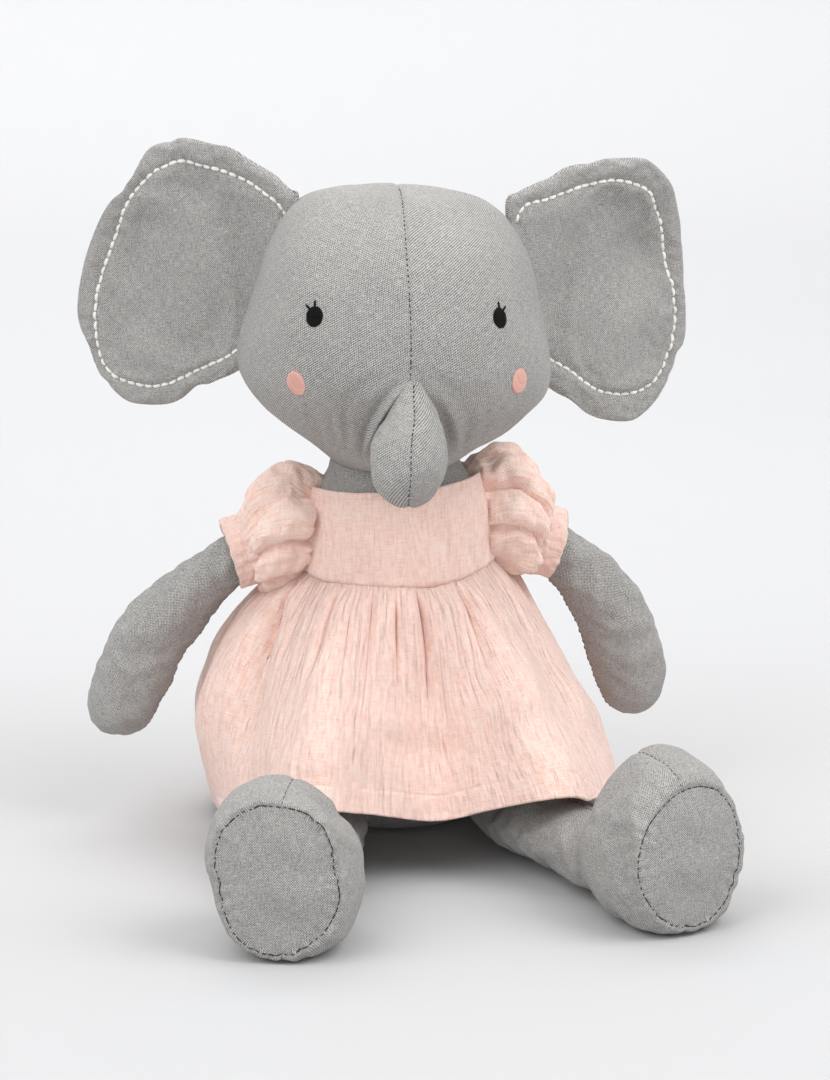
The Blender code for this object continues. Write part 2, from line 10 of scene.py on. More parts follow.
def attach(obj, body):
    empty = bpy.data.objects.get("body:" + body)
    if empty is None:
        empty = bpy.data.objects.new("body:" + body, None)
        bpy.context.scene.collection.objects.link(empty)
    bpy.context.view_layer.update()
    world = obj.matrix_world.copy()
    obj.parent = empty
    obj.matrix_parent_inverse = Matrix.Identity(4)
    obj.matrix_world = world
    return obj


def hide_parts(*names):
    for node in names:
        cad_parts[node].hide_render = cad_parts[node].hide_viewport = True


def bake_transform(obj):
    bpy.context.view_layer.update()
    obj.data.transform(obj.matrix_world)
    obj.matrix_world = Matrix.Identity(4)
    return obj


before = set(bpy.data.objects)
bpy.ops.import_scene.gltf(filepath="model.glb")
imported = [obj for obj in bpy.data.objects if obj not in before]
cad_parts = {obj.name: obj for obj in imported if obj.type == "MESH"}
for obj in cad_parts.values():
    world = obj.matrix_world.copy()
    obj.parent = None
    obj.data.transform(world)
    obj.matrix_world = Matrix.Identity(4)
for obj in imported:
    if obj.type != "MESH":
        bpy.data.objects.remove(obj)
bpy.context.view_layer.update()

MM = 0.001
SIDES = {"left": 1, "right": -1}    # the doll's own left is at +X
RNG = np.random.default_rng(7)
REACH = 0.02          # how far off a surface a needle starts

# frames of the moving parts, as in the CAD
NECK_PIVOT = Vector((0.0, 0.0, 0.158))
HEAD = (Matrix.Translation(NECK_PIVOT) @ Matrix.Rotation(math.radians(-4.5), 4, "Z")
        @ Matrix.Rotation(math.radians(1.5), 4, "Y"))
UP = Vector((0, 0, 1))
EAR_SWEEP = math.radians(25.0)
EAR_ROOTS = {"left": (0.065, 0.005, 0.086), "right": (0.061, 0.005, 0.0935)}
LEG_SPLAY = {"left": math.radians(21.0), "right": math.radians(15.5)}
HIP = (0.030, -0.030, 0.018)


def ear_matrix(side):
    """X out along the ear for the doll's left, Y up, Z out of its front."""
    sign = SIDES[side]
    out, back, high = EAR_ROOTS[side]
    front = Vector((sign * math.sin(EAR_SWEEP), -math.cos(EAR_SWEEP), 0))
    turn = Matrix((UP.cross(front), UP, front)).transposed().to_4x4()
    return HEAD @ Matrix.Translation((sign * out, back, high)) @ turn


def leg_matrix(side):
    """X along the leg, Y across it towards +X, Z up."""
    sign = SIDES[side]
    along = Vector((sign * math.sin(LEG_SPLAY[side]), -math.cos(LEG_SPLAY[side]), 0))
    turn = Matrix((along, UP.cross(along), UP)).transposed().to_4x4()
    return Matrix.Translation((sign * HIP[0], *HIP[1:])) @ turn


# ---------------------------------------------------------------- numbers

TURN = 2 * np.pi
SPLINE_STEPS = 24
TINY = 1e-12          # keeps a division by a length finite
FAR = 1e9


def running(path):
    """How far along a path each of its points lies."""
    return np.concatenate([[0], np.cumsum(np.linalg.norm(np.diff(path, axis=0), axis=1))])


def sampled(path, run, at):
    return np.stack([np.interp(at, run, path[:, k]) for k in range(path.shape[1])], axis=1)


def spline(points, count, closed=False):
    """count points spaced evenly along a Catmull-Rom curve through the given ones."""
    points = np.array(points, float)
    n = len(points)
    dense = []
    for i in range(n if closed else n - 1):
        near_by = [i + k if closed else min(max(i + k, 0), n - 1) for k in (-1, 0, 1, 2)]
        p = [points[k % n] for k in near_by]
        for t in np.linspace(0, 1, SPLINE_STEPS, endpoint=False):
            dense.append(0.5 * (2 * p[1] + (p[2] - p[0]) * t
                                + (2 * p[0] - 5 * p[1] + 4 * p[2] - p[3]) * t ** 2
                                + (3 * p[1] - p[0] - 3 * p[2] + p[3]) * t ** 3))
    dense.append(points[0] if closed else points[-1])
    dense = np.array(dense)
    run = running(dense)
    at = np.linspace(0, run[-1], count, endpoint=not closed)
    return sampled(dense, run, at)


def columns(rows):
    """The columns of a table, each ready to be spread over a grid."""
    return (rows[:, k, None] for k in range(rows.shape[1]))


def angles(count):
    return np.linspace(0, TURN, count, endpoint=False)


def apart(phi, at):
    """The angle between two directions, from 0 to half a turn."""
    return np.abs((phi - at + np.pi) % TURN - np.pi)


def oval(phi, wide, front, back, exponent):
    """Radius of a rounded cross section, by angle from the front."""
    reach = np.where(np.cos(phi) > 0, front, back)
    return ((np.abs(np.sin(phi)) / wide) ** exponent
            + (np.abs(np.cos(phi)) / reach) ** exponent) ** (-1 / exponent)


def table(rows, at):
    """Columns of a table read at the values of its first column, smoothly."""
    rows = np.array(rows, float)
    dense = spline(rows, 40 * len(rows))
    order = np.argsort(dense[:, 0])
    return [np.interp(at, dense[order, 0], dense[order, k]) for k in range(1, rows.shape[1])]


def ripple(P, wavelength, seed, stretch=(1, 1, 1), waves=28):
    """A smooth random field of unit spread, with features about one wavelength across."""
    rng = np.random.default_rng(seed)
    k = rng.normal(size=(waves, 3))
    k /= np.linalg.norm(k, axis=1)[:, None]
    k *= (TURN / wavelength) * rng.uniform(0.6, 1.4, (waves, 1)) / np.array(stretch)
    phase = rng.uniform(0, TURN, waves)
    total = np.zeros(P.shape[:-1])
    for wave, shift in zip(k, phase):
        total += np.sin(P @ wave + shift)
    return total * math.sqrt(2 / waves)


def near(x, width):
    """1 where x is zero, falling away over about one width."""
    return np.exp(-(x / width) ** 2)


def bump(x, centre, width):
    return near(x - centre, width)


def step(x, low, high):
    t = np.clip((x - low) / (high - low), 0, 1)
    return t * t * (3 - 2 * t)


def placed(P, matrix):
    m = np.array(matrix)
    return P @ m[:3, :3].T + m[:3, 3]


def normals_of(P, wrap=True):
    """Unit normals of a grid of points, out of the side that the columns turn around."""
    du = np.roll(P, -1, axis=1) - np.roll(P, 1, axis=1) if wrap else np.gradient(P, axis=1)
    n = np.cross(du, np.gradient(P, axis=0))
    return n / (np.linalg.norm(n, axis=2, keepdims=True) + TINY)


def raised(P, h, N=None):
    """A grid of points moved by h along its normals."""
    return P + (normals_of(P) if N is None else N) * h[..., None]


def soft_kernel(count):
    kernel = np.exp(-np.linspace(-2, 2, count) ** 2)
    return kernel / kernel.sum()


# ---------------------------------------------------------------- meshes

def new_piece(name, points, faces, maps, material, loose=()):
    """A smooth mesh in the scene, with a map named cloth."""
    mesh = bpy.data.meshes.new(name)
    mesh.from_pydata(points, [], faces)
    layer = mesh.uv_layers.new(name="cloth")
    corners = np.array([xy for face in maps for xy in face], np.float32)
    layer.data.foreach_set("uv", corners.ravel())
    if loose:
        drop_points(mesh, loose)
    mesh.shade_smooth()
    obj = bpy.data.objects.new(name, mesh)
    bpy.context.scene.collection.objects.link(obj)
    mesh.materials.append(material)
    return obj


def cloth_mesh(name, P, material, wrap=True, caps=(False, False), seams=(0,), flip=False,
               span=None):
    """A mesh from a grid of points. Its map named cloth holds where each corner lies in
    the flat cloth, in metres, counted from the middle of each panel between seams."""
    rows, cols = P.shape[:2]
    if wrap:
        seams = [*seams, seams[0] + cols]
        order = [c % cols for c in range(seams[0], seams[0] + cols + 1)]
    else:
        seams = [0, cols - 1]
        order = list(range(cols))
    ring = P[:, order]
    across = np.linalg.norm(np.diff(ring, axis=1), axis=2)
    run = np.concatenate([np.zeros((rows, 1)), np.cumsum(across, axis=1)], axis=1)
    if span:        # gathered cloth: its threads run straight from edge to edge
        run = np.linspace(0, span, run.shape[1])[None] + 0 * run
    faces, maps = [], []
    tips = rows * cols, rows * cols + 1
    for a, b in zip(seams, seams[1:]):
        a, b = a - seams[0], b - seams[0]
        middle = (a + b) // 2
        down = running(ring[:, middle])
        u = run - run[:, middle:middle + 1]
        for c in range(a, b):
            i, j = order[c], order[c + 1]
            for r in range(rows - 1):
                low, high = r * cols, (r + 1) * cols
                faces.append((low + i, low + j, high + j, high + i))
                maps.append(((u[r, c], down[r]), (u[r, c + 1], down[r]),
                             (u[r + 1, c + 1], down[r + 1]), (u[r + 1, c], down[r + 1])))
            for cap, r, tip in zip(caps, (0, rows - 1), tips):
                if cap:
                    pair = [(r * cols + k, (u[r, at], down[r])) for k, at in ((i, c), (j, c + 1))]
                    if r == 0:
                        pair.reverse()
                    (first, at), (second, to) = pair
                    faces.append((first, second, tip))
                    maps.append((at, to, ((at[0] + to[0]) / 2, down[r])))
    points = np.concatenate([P.reshape(-1, 3), P[0].mean(0)[None], P[-1].mean(0)[None]])
    if flip:
        faces = [f[::-1] for f in faces]
        maps = [m[::-1] for m in maps]
    loose = [tip for tip, cap in zip(tips, caps) if not cap]
    return new_piece(name, points.tolist(), faces, maps, material, loose)


def spread(values, at, count, period=None):
    """Values known at some whole positions along the first axis, filled in smoothly."""
    flat = values.reshape(len(values), -1)
    full = np.stack([np.interp(np.arange(count), at, column, period=period)
                     for column in flat.T], axis=1)
    gap = max(int(round(count / len(at))), 1)
    full = np.pad(full, ((gap, gap), (0, 0)), mode="wrap" if period else "edge")
    kernel = soft_kernel(2 * gap + 1)
    full = np.stack([np.convolve(column, kernel, mode="valid") for column in full.T], axis=1)
    return full.reshape(count, *values.shape[1:])


CLOTH_FRAMES = 20


def settled(P, step_r, step_c, held, cap, slack=0.04, pressure=4.0):
    """Swells a sewn, stuffed tube with Blender's cloth and returns its wrinkled points.
    A coarse copy is simulated with its held points pinned, and the cloth is cut slightly
    larger than its shape. No point moves further than the cap, and the wrinkles are spread
    back over the fine grid."""
    rows, cols = P.shape[:2]
    r_at = np.unique(np.round(np.linspace(0, rows - 1, rows // step_r + 1)).astype(int))
    c_at = np.arange(0, cols, step_c)
    coarse = P[r_at][:, c_at]
    pinned = held[r_at][:, c_at]
    n, m = coarse.shape[:2]
    faces = [(r * m + c, r * m + (c + 1) % m, (r + 1) * m + (c + 1) % m, (r + 1) * m + c)
             for r in range(n - 1) for c in range(m)]
    faces += [tuple(range(m))[::-1], tuple(range((n - 1) * m, n * m))]
    mesh = bpy.data.meshes.new("cloth_copy")
    mesh.from_pydata(coarse.reshape(-1, 3).tolist(), [], faces)
    copy = bpy.data.objects.new("cloth_copy", mesh)
    bpy.context.scene.collection.objects.link(copy)
    edit = bmesh.new()
    edit.from_mesh(mesh)
    bmesh.ops.recalc_face_normals(edit, faces=edit.faces)
    edit.to_mesh(mesh)
    edit.free()
    group = copy.vertex_groups.new(name="held")
    group.add([int(i) for i in np.flatnonzero(pinned.ravel())], 1.0, "REPLACE")
    cloth = copy.modifiers.new("cloth", "CLOTH")
    setting = cloth.settings
    setting.quality, setting.mass, setting.air_damping = 5, 0.3, 4
    setting.tension_stiffness = setting.compression_stiffness = 15
    setting.shear_stiffness, setting.bending_stiffness = 5, 0.2
    setting.effector_weights.gravity = 0
    setting.use_pressure, setting.uniform_pressure_force = True, pressure
    setting.shrink_min = -slack
    setting.vertex_group_mass = "held"
    cloth.point_cache.frame_start, cloth.point_cache.frame_end = 1, CLOTH_FRAMES
    for frame_number in range(1, CLOTH_FRAMES + 1):
        bpy.context.scene.frame_set(frame_number)
    shape = copy.evaluated_get(bpy.context.evaluated_depsgraph_get()).data
    after = np.empty(len(mesh.vertices) * 3)
    shape.vertices.foreach_get("co", after)
    bpy.data.objects.remove(copy)
    bpy.data.meshes.remove(mesh)
    bpy.context.scene.frame_set(1)
    move = after.reshape(n, m, 3) - coarse
    N = normals_of(coarse)
    outward = (move * N).sum(-1)
    free = 1.0 - pinned
    move = move - N * (outward[free > 0].mean() * free)[..., None]
    size = np.linalg.norm(move, axis=-1, keepdims=True)
    move = move * cap / np.maximum(size, cap)
    move = spread(move, r_at, rows)
    move = spread(move.transpose(1, 0, 2), c_at, cols, period=cols).transpose(1, 0, 2)
    return P + move


def drop_points(mesh, indices):
    edit = bmesh.new()
    edit.from_mesh(mesh)
    edit.verts.ensure_lookup_table()
    for vert in [edit.verts[i] for i in indices]:
        edit.verts.remove(vert)
    edit.to_mesh(mesh)
    edit.free()


def unit_rows(vectors):
    return vectors / (np.linalg.norm(vectors, axis=1)[:, None] + TINY)


def threads(name, lines, material, sides=8, flat=0.7, blunt=4.0):
    """Tubes of thread. Each line is its points, its normals and its radius, and its ends
    taper to a point: blunt sets how late they do."""
    points, faces, maps = [], [], []
    turn = angles(sides)
    for path, normal, radius in lines:
        path, normal = np.array(path, float), np.array(normal, float)
        n = len(path)
        t = np.linspace(-1, 1, n)
        size = radius * np.maximum(1 - np.abs(t) ** blunt, 0.02) ** 0.5
        along = unit_rows(np.gradient(path, axis=0))
        side = unit_rows(np.cross(along, normal))
        up = np.cross(side, along)
        start = len(points)
        run = running(path)
        for i in range(n):
            ring = (path[i] + size[i] * (np.cos(turn)[:, None] * side[i]
                                         + flat * np.sin(turn)[:, None] * up[i]))
            points.extend(ring.tolist())
        for i in range(n - 1):
            a, b = start + i * sides, start + (i + 1) * sides
            for k in range(sides):
                j = (k + 1) % sides
                faces.append((a + k, b + k, b + j, a + j))
                u0, u1 = k * radius, (k + 1) * radius
                maps.append(((u0, run[i]), (u0, run[i + 1]), (u1, run[i + 1]), (u1, run[i])))
        loop = tuple(start + k for k in range(sides))
        faces += [loop, tuple(k + (n - 1) * sides for k in loop)[::-1]]
        maps += [((0.0, 0.0),) * sides] * 2
    return new_piece(name, points, faces, maps, material)


def tree_of(*objs):
    """What a needle would touch: the surfaces of these pieces, in the row frame."""
    points, faces = [], []
    for obj in objs:
        start = len(points)
        points += [obj.matrix_world @ v.co for v in obj.data.vertices]
        faces += [[start + i for i in p.vertices] for p in obj.data.polygons]
    return BVHTree.FromPolygons(points, faces)


def resample(path, pitch):
    """Points at an even pitch along a path."""
    path = np.array(path, float)
    run = running(path)
    count = max(2, int(round(run[-1] / pitch)) + 1)
    return sampled(path, run, np.linspace(0, run[-1], count))


def stitches(tree, path, pitch, length, radius, lift, jitter=0.0, points=7, toward=None):
    """Lines for threads(): one stitch for each pitch of a path that lies near the surface.
    The stitches lie on the nearest point of it, or on the one met in a given direction."""
    count = len(resample(path, pitch)) - 1
    fine = resample(path, pitch / 12)
    run = running(fine)
    lines = []
    for i in range(count):
        middle = (i + 0.5) * run[-1] / count
        half = length / 2 * (1 + jitter * RNG.uniform(-1, 1))
        at = np.linspace(middle - half, middle + half, points)
        line, up = [], []
        for p, t in zip(sampled(fine, run, at), np.linspace(-1, 1, points)):
            p = Vector(p)
            if toward is None:
                hit, normal, _, _ = tree.find_nearest(p)
            else:
                hit, normal, _, _ = tree.ray_cast(p - toward * REACH, toward)
            line.append(hit + normal * (lift * (1 - t * t) - radius * 0.55 * t * t))
            up.append(normal)
        lines.append((line, up, radius * (1 + 0.3 * jitter * RNG.uniform(-1, 1))))
    return lines


def sew(name, tree, path, sizes, jitter, material, body, sides=8):
    """A seam's stitches, as a piece: sizes are pitch, length, radius and lift in millimetres."""
    lines = stitches(tree, path, *(size * MM for size in sizes), jitter)
    made = threads(name, lines, material, sides=sides)
    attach(made, body)


# ---------------------------------------------------------------- materials

class Nodes:
    def __init__(self, name):
        self.material = bpy.data.materials.get(name) or bpy.data.materials.new(name)
        self.material.use_nodes = True
        self.tree = self.material.node_tree
        self.tree.nodes.clear()
        self.out = self.node("ShaderNodeOutputMaterial")
        self.shader = self.node("ShaderNodeBsdfPrincipled")
        self.link(self.shader.outputs[0], self.out.inputs["Surface"])

    def node(self, kind, **values):
        made = self.tree.nodes.new(kind)
        for key, value in values.items():
            setattr(made, key, value)
        return made

    def link(self, a, b):
        self.tree.links.new(a, b)

    def math(self, operation, a, b=None):
        made = self.node("ShaderNodeMath", operation=operation)
        for socket, value in zip(made.inputs, (a, b)):
            if isinstance(value, (int, float)):
                socket.default_value = value
            elif value is not None:
                self.link(value, socket)
        return made.outputs[0]

    def cloth(self, angle=0.0):
        """Where the point lies in the flat cloth, in millimetres, turned to the thread."""
        place = self.node("ShaderNodeUVMap", uv_map="cloth")
        turn = self.node("ShaderNodeMapping")
        turn.inputs["Rotation"].default_value = (0, 0, angle)
        turn.inputs["Scale"].default_value = (1000, 1000, 1000)
        self.link(place.outputs[0], turn.inputs["Vector"])
        return turn.outputs[0]

    def noise(self, vector, along, across, detail=2.0, rough=0.5, deep=1):
        """Noise with features of this size, in the unit of the vector."""
        sized = self.node("ShaderNodeMapping")
        sized.inputs["Scale"].default_value = (1 / along, 1 / across, 1 / deep)
        self.link(vector, sized.inputs["Vector"])
        made = self.node("ShaderNodeTexNoise")
        made.inputs["Scale"].default_value = 1.0
        made.inputs["Detail"].default_value = detail
        made.inputs["Roughness"].default_value = rough
        self.link(sized.outputs[0], made.inputs["Vector"])
        return made.outputs[0]

    def ramp(self, value, stops):
        made = self.node("ShaderNodeValToRGB")
        ramp = made.color_ramp
        while len(ramp.elements) < len(stops):
            ramp.elements.new(0.5)
        for element, (at, colour) in zip(ramp.elements, stops):
            element.position = at
            element.color = (*colour, 1)
        self.link(value, made.inputs[0])
        return made.outputs[0]

    def bumped(self, height, distance, before=None):
        made = self.node("ShaderNodeBump")
        made.inputs["Strength"].default_value = 1.0
        made.inputs["Distance"].default_value = distance
        self.link(height, made.inputs["Height"])
        if before is not None:
            self.link(before, made.inputs["Normal"])
        return made.outputs[0]

    def sum(self, *terms):
        """The sum of some values, each with its weight."""
        total = None
        for value, weight in terms:
            part = value if weight == 1 else self.math("MULTIPLY", value, weight)
            total = part if total is None else self.math("ADD", total, part)
        return total

    def colour(self, value, *stops):
        self.link(self.ramp(value, stops), self.shader.inputs["Base Color"])

    def normal(self, height, distance, before=None):
        self.link(self.bumped(height, distance, before), self.shader.inputs["Normal"])

    def finish(self, roughness, sheen=0.0, specular=0.3):
        self.shader.inputs["Roughness"].default_value = roughness
        self.shader.inputs["Sheen Weight"].default_value = sheen
        self.shader.inputs["Sheen Roughness"].default_value = 0.5
        self.shader.inputs["Specular IOR Level"].default_value = specular
        return self.material


def weave(n, vector, pitch, twill=False):
    """Height of crossing threads: plain weave, or twill when its lines run diagonally."""
    parts = n.node("ShaderNodeSeparateXYZ")
    n.link(vector, parts.inputs[0])
    x, y = (n.math("MULTIPLY", parts.outputs[k], TURN / pitch) for k in (0, 1))
    if twill:
        diagonal = n.math("SINE", n.sum((x, 1), (y, 0.5)))
        return n.sum((diagonal, 0.35), (n.math("SINE", y), 0.15))
    return n.math("MULTIPLY", n.math("SINE", x), n.math("MULTIPLY", n.math("SINE", y), 0.5))


def linen(name, colour, angle=0.0, twill=False):
    n = Nodes(name)
    place = n.cloth(angle)
    warp, weft = n.noise(place, 0.5, 4.0), n.noise(place, 3.4, 0.5)
    fleck, cloud = n.noise(place, 0.55, 0.55), n.noise(place, 30, 30)
    crossing = weave(n, place, 1.0, twill)
    grain = n.sum((warp, 0.75), (weft, 0.75), (fleck, 1.5), (crossing, 0.95), (cloud, 0.2))
    dark = tuple(c * 0.45 for c in colour)
    light = tuple(min(1, c * 1.65) for c in colour)
    n.colour(n.math("SUBTRACT", grain, 1.10), (0.10, dark), (0.50, colour), (0.90, light))
    soft = n.bumped(n.noise(place, 16, 16), 0.6 * MM)
    n.normal(n.sum((crossing, 1), (warp, 1), (weft, 1)), 0.15 * MM, soft)
    return n.finish(0.92, sheen=0.10, specular=0.2)


def gauze(name, colour, crinkle=1.0):
    """Double gauze: two thin layers caught together, so that it puckers in small ridges."""
    n = Nodes(name)
    place = n.cloth()
    ridge = n.noise(place, 3.3, 26, 1, 0.4)
    line = n.noise(place, 1.3, 10, 1, 0.4)
    pucker = n.noise(place, 3.8, 5.5)
    warp, weft = n.noise(place, 0.6, 5.0), n.noise(place, 5.0, 0.7)
    cells = weave(n, place, 1.3)
    # the colour runs from a deeper, warmer pink to a paler one: partly the cloth's own uneven
    # threads, partly painted shade in the hollows of the fine lines and puckers and painted
    # highlight on their crests, since the same fields make the bumps below
    grain = n.sum((warp, 0.7), (weft, 0.7), (cells, 0.12), (line, 0.5), (pucker, 0.2))
    deep = tuple(c * k for c, k in zip(colour, (0.93, 0.82, 0.77)))
    pale = tuple(min(1, c * k) for c, k in zip(colour, (1.03, 1.10, 1.13)))
    n.colour(n.math("SUBTRACT", grain, 0.55), (0.30, deep), (0.52, colour), (0.76, pale))
    large = n.bumped(n.sum((ridge, 1), (pucker, 0.75)), 1.7 * MM * crinkle)
    lines = n.bumped(line, 0.9 * MM * crinkle, large)
    n.normal(n.sum((cells, 1), (warp, 1), (weft, 1)), 0.20 * MM, lines)
    # light comes through the thin cloth
    n.shader.inputs["Subsurface Weight"].default_value = 0.25
    n.shader.inputs["Subsurface Radius"].default_value = (1.0, 0.7, 0.6)
    n.shader.inputs["Subsurface Scale"].default_value = 2 * MM
    return n.finish(0.95, sheen=0.25, specular=0.2)


def thread(name, colour, shine=0.3, ply_shade=0.9, sheen=0.1):
    """Twisted thread: fine slanted ridges along each stitch."""
    n = Nodes(name)
    strand = n.noise(n.cloth(math.radians(32)), 0.22, 2.0)
    # painted shade in the grooves of the twist and painted highlight on its ridges, both following
    # the strand bumps
    dark = tuple(c * (1 - 0.45 * ply_shade) for c in colour)
    light = tuple(min(1, c * 1.12) for c in colour)
    n.colour(strand, (0.3, dark), (0.5, colour), (0.7, light))
    n.normal(strand, 0.18 * MM)
    return n.finish(0.55, sheen=sheen, specular=shine)


LINEN_COLOUR = (0.345, 0.335, 0.322)
GAUZE_COLOUR = (0.90, 0.655, 0.58)
LINEN_FACE = linen("linen_face", LINEN_COLOUR, math.radians(82), twill=True)
LINEN = linen("linen_grey", LINEN_COLOUR)
GAUZE = gauze("gauze_pink", GAUZE_COLOUR)
GAUZE_PLAIN = gauze("gauze_bodice", GAUZE_COLOUR, 0.45)
# the same gauze as the dress in a lighter colour: painted light on the sleeves
GAUZE_PUFF_PAINTED_LIGHT = gauze("gauze_sleeve", (0.98, 0.715, 0.63), 0.6)
CREAM = thread("thread_cream", (0.95, 0.925, 0.87), ply_shade=0.5)
BLACK = thread("thread_black", (0.006, 0.005, 0.005), 0.12, ply_shade=0.3, sheen=0.0)
BLUSH = thread("thread_blush", (0.82, 0.46, 0.39), ply_shade=0.8)
DARK_SEAM = thread("thread_seam", (0.035, 0.032, 0.030), ply_shade=0.4)
PINK_SEAM = thread("thread_pink", (0.82, 0.50, 0.42), ply_shade=0.4)
SPOT = 1 / 900         # size of the snaps' mottling, in metres


def snap_material():
    n = Nodes("snap_shell")
    spots = n.noise(n.node("ShaderNodeTexCoord").outputs["Object"], SPOT, SPOT, deep=SPOT)
    n.colour(spots, (0.3, (0.74, 0.70, 0.63)), (0.7, (0.84, 0.80, 0.73)))
    n.normal(spots, 0.05 * MM)
    return n.finish(0.38, specular=0.5)


SNAP = snap_material()

# ---------------------------------------------------------------- head

HEAD_ROWS = [
    # height, half width, reach to the front, reach to the back (millimetres, head frame)
    (11.5, 12.0, 14.0, 13.0), (8.8, 21.0, 24.0, 22.0), (9.4, 26.5, 31.5, 29.0),
    (13.0, 31.0, 39.0, 36.5), (19.0, 38.5, 47.5, 44.5), (24.0, 45.6, 53.3, 49.8),
    (30.0, 53.6, 59.0, 54.6), (36.0, 60.2, 63.8, 58.0), (46.0, 68.4, 68.8, 60.8),
    (56.0, 70.2, 71.3, 62.0), (66.0, 69.4, 71.8, 62.4), (78.0, 66.8, 70.8, 61.6),
    (90.0, 63.6, 67.6, 59.5), (101.0, 60.2, 62.8, 55.8), (110.0, 56.8, 57.2, 51.4),
    (118.0, 52.6, 50.0, 45.4), (125.0, 46.8, 40.6, 37.6), (130.2, 38.2, 30.0, 28.5),
    (133.2, 25.0, 18.0, 18.0), (134.6, 8.0, 6.0, 6.0),
]
HEAD_COLS, HEAD_STEPS = 380, 210
SECTION = 2.28
FACE_SEAM_END = 0.2105       # height at which the trunk covers it

# creases of the face: points (x, z) in the head frame, then depth and width (millimetres)
TRUNK_FOLD = [(-1.0, 56.5), (-5.4, 52.8), (-10.0, 46.6), (-13.9, 39.2), (-16.5, 31.0),
              (-17.0, 23.0), (-15.6, 15.5)]
CREASES = [
    ([(11.0, 47.0), (15.6, 39.5), (18.9, 30.0), (20.6, 19.0)], 2.6, 1.9),
    ([(-27.5, 45.0), (-27.0, 34.0), (-23.5, 20.0)], 1.0, 1.8),
    ([(-34.0, 43.0), (-32.0, 32.0), (-26.5, 19.5)], 0.85, 2.0),
    ([(-42.7, 46.0), (-39.6, 34.7), (-33.0, 22.0)], 0.65, 2.4),
    ([(26.0, 43.0), (27.5, 32.0), (26.0, 19.0)], 0.75, 2.2),
    ([(33.5, 41.0), (34.5, 32.0), (31.5, 21.0)], 0.45, 2.4),
    ([(-10.0, 60.0), (-20.0, 54.0), (-27.5, 45.0)], 0.55, 2.8),
    ([(7.0, 60.0), (15.0, 55.0), (21.0, 47.0)], 0.50, 2.8),
]


def from_segment(x, y, a, b):
    """Offset of each point from the nearest place on a segment, and that place's share."""
    d = b - a
    t = np.clip(((x - a[0]) * d[0] + (y - a[1]) * d[1]) / max(d @ d, 1e-9), 0, 1)
    return x - a[0] - t * d[0], y - a[1] - t * d[1], t


def line_distance(x, z, points):
    """Signed distance to a line in the plane, and how far along it, 0 to 1."""
    path = spline(points, 60)
    best = np.full(x.shape, FAR)
    sign = np.ones(x.shape)
    share = np.zeros(x.shape)
    for i, (a, b) in enumerate(zip(path, path[1:])):
        dx, dz, t = from_segment(x, z, a, b)
        dist = np.hypot(dx, dz)
        closer = dist < best
        best = np.where(closer, dist, best)
        along = b - a
        sign = np.where(closer, np.sign(along[0] * dz - along[1] * dx), sign)
        share = np.where(closer, (i + t) / (len(path) - 1), share)
    return best * sign, share


def head_angles():
    """Angles of the columns from the front, closest together on the face."""
    turn = angles(HEAD_COLS)
    return turn - 0.45 * np.sin(turn)


def head_grid():
    z, wide, front, back = columns(spline(HEAD_ROWS, HEAD_STEPS))
    phi = head_angles()[None]
    radius = oval(phi, wide, front, back, SECTION)
    P = np.stack([radius * np.sin(phi), -radius * np.cos(phi), z + 0 * phi], axis=2)
    # the filling has settled askew: the crown leans and one jowl hangs lower
    P[..., 0] += -1.9 - 0.004 * (P[..., 2] - 62) + 1.9 * near(P[..., 0], 26) * (
        step(-P[..., 1], 0, 40) * step(P[..., 2], 124, 66))
    P[..., 2] -= 0.026 * P[..., 0] * step(P[..., 2], 10, 34)
    x, y, z = P[..., 0], P[..., 1], P[..., 2]
    h = 0.55 * ripple(P, 60, 3) + 0.16 * ripple(P, 22, 4)
    h = h * step(z, 12, 30)
    # sewn seams: front and back middle, and the sides that hold the ears
    for at, depth in zip(np.arange(4) * np.pi / 2, (0.75, 1.0, 0.75, 1.0)):
        dist = apart(phi, at) * radius
        pull = 1 + 0.35 * np.sin(z * TURN / 7.5 + 1.3 * at) + 0.25 * ripple(P, 9, 5)
        h = h - depth * near(dist, 1.15) - 0.30 * pull * near(dist, 4.5)
    face = step(-y, 10, 30)
    for points, depth, width in CREASES:
        d, share = line_distance(x, z, points)
        fade = np.sin(np.pi * np.clip(share, 0.02, 0.98)) ** 0.7
        h = h - face * fade * depth * (near(d, width)
                                       - 0.45 * bump(np.abs(d), 1.9 * width, width))
    # the fold beside the trunk: a soft lip inside it, a sharp edge outside
    d, share = line_distance(x, z, TRUNK_FOLD)
    fade = np.sin(np.pi * np.clip(share, 0, 1)) ** 0.8
    lip = np.where(d > 0, 6.6 * near(d, 3.0), 9.4 * near(d, 0.95) - 2.8 * near(d, 3.0))
    h = h + face * fade * lip
    return raised(P, h) * MM


def build_head():
    P = placed(head_grid(), HEAD)
    quarter = int(np.argmin(np.abs(head_angles() - np.pi / 2)))
    half = HEAD_COLS // 2
    head = cloth_mesh("head_skin", P, LINEN_FACE, caps=(True, True),
                      seams=[0, quarter, half, HEAD_COLS - quarter])
    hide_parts("head_front_left", "head_front_right", "head_back_left",
                "head_back_right", "head_stuffing")
    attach(head, "head")
    tree = tree_of(head)
    top = HEAD_STEPS - 4
    low = int(np.argmin(np.abs(P[:HEAD_STEPS // 2 + 40, 0, 2] - FACE_SEAM_END)))
    for name, path in (("front", P[top:low:-1, 0]), ("back", P[top:22:-1, half])):
        sew(f"head_{name}_seam", tree, path, (2.7, 1.75, 0.24, 0.16), 0.5,
            DARK_SEAM, "head")
    return tree


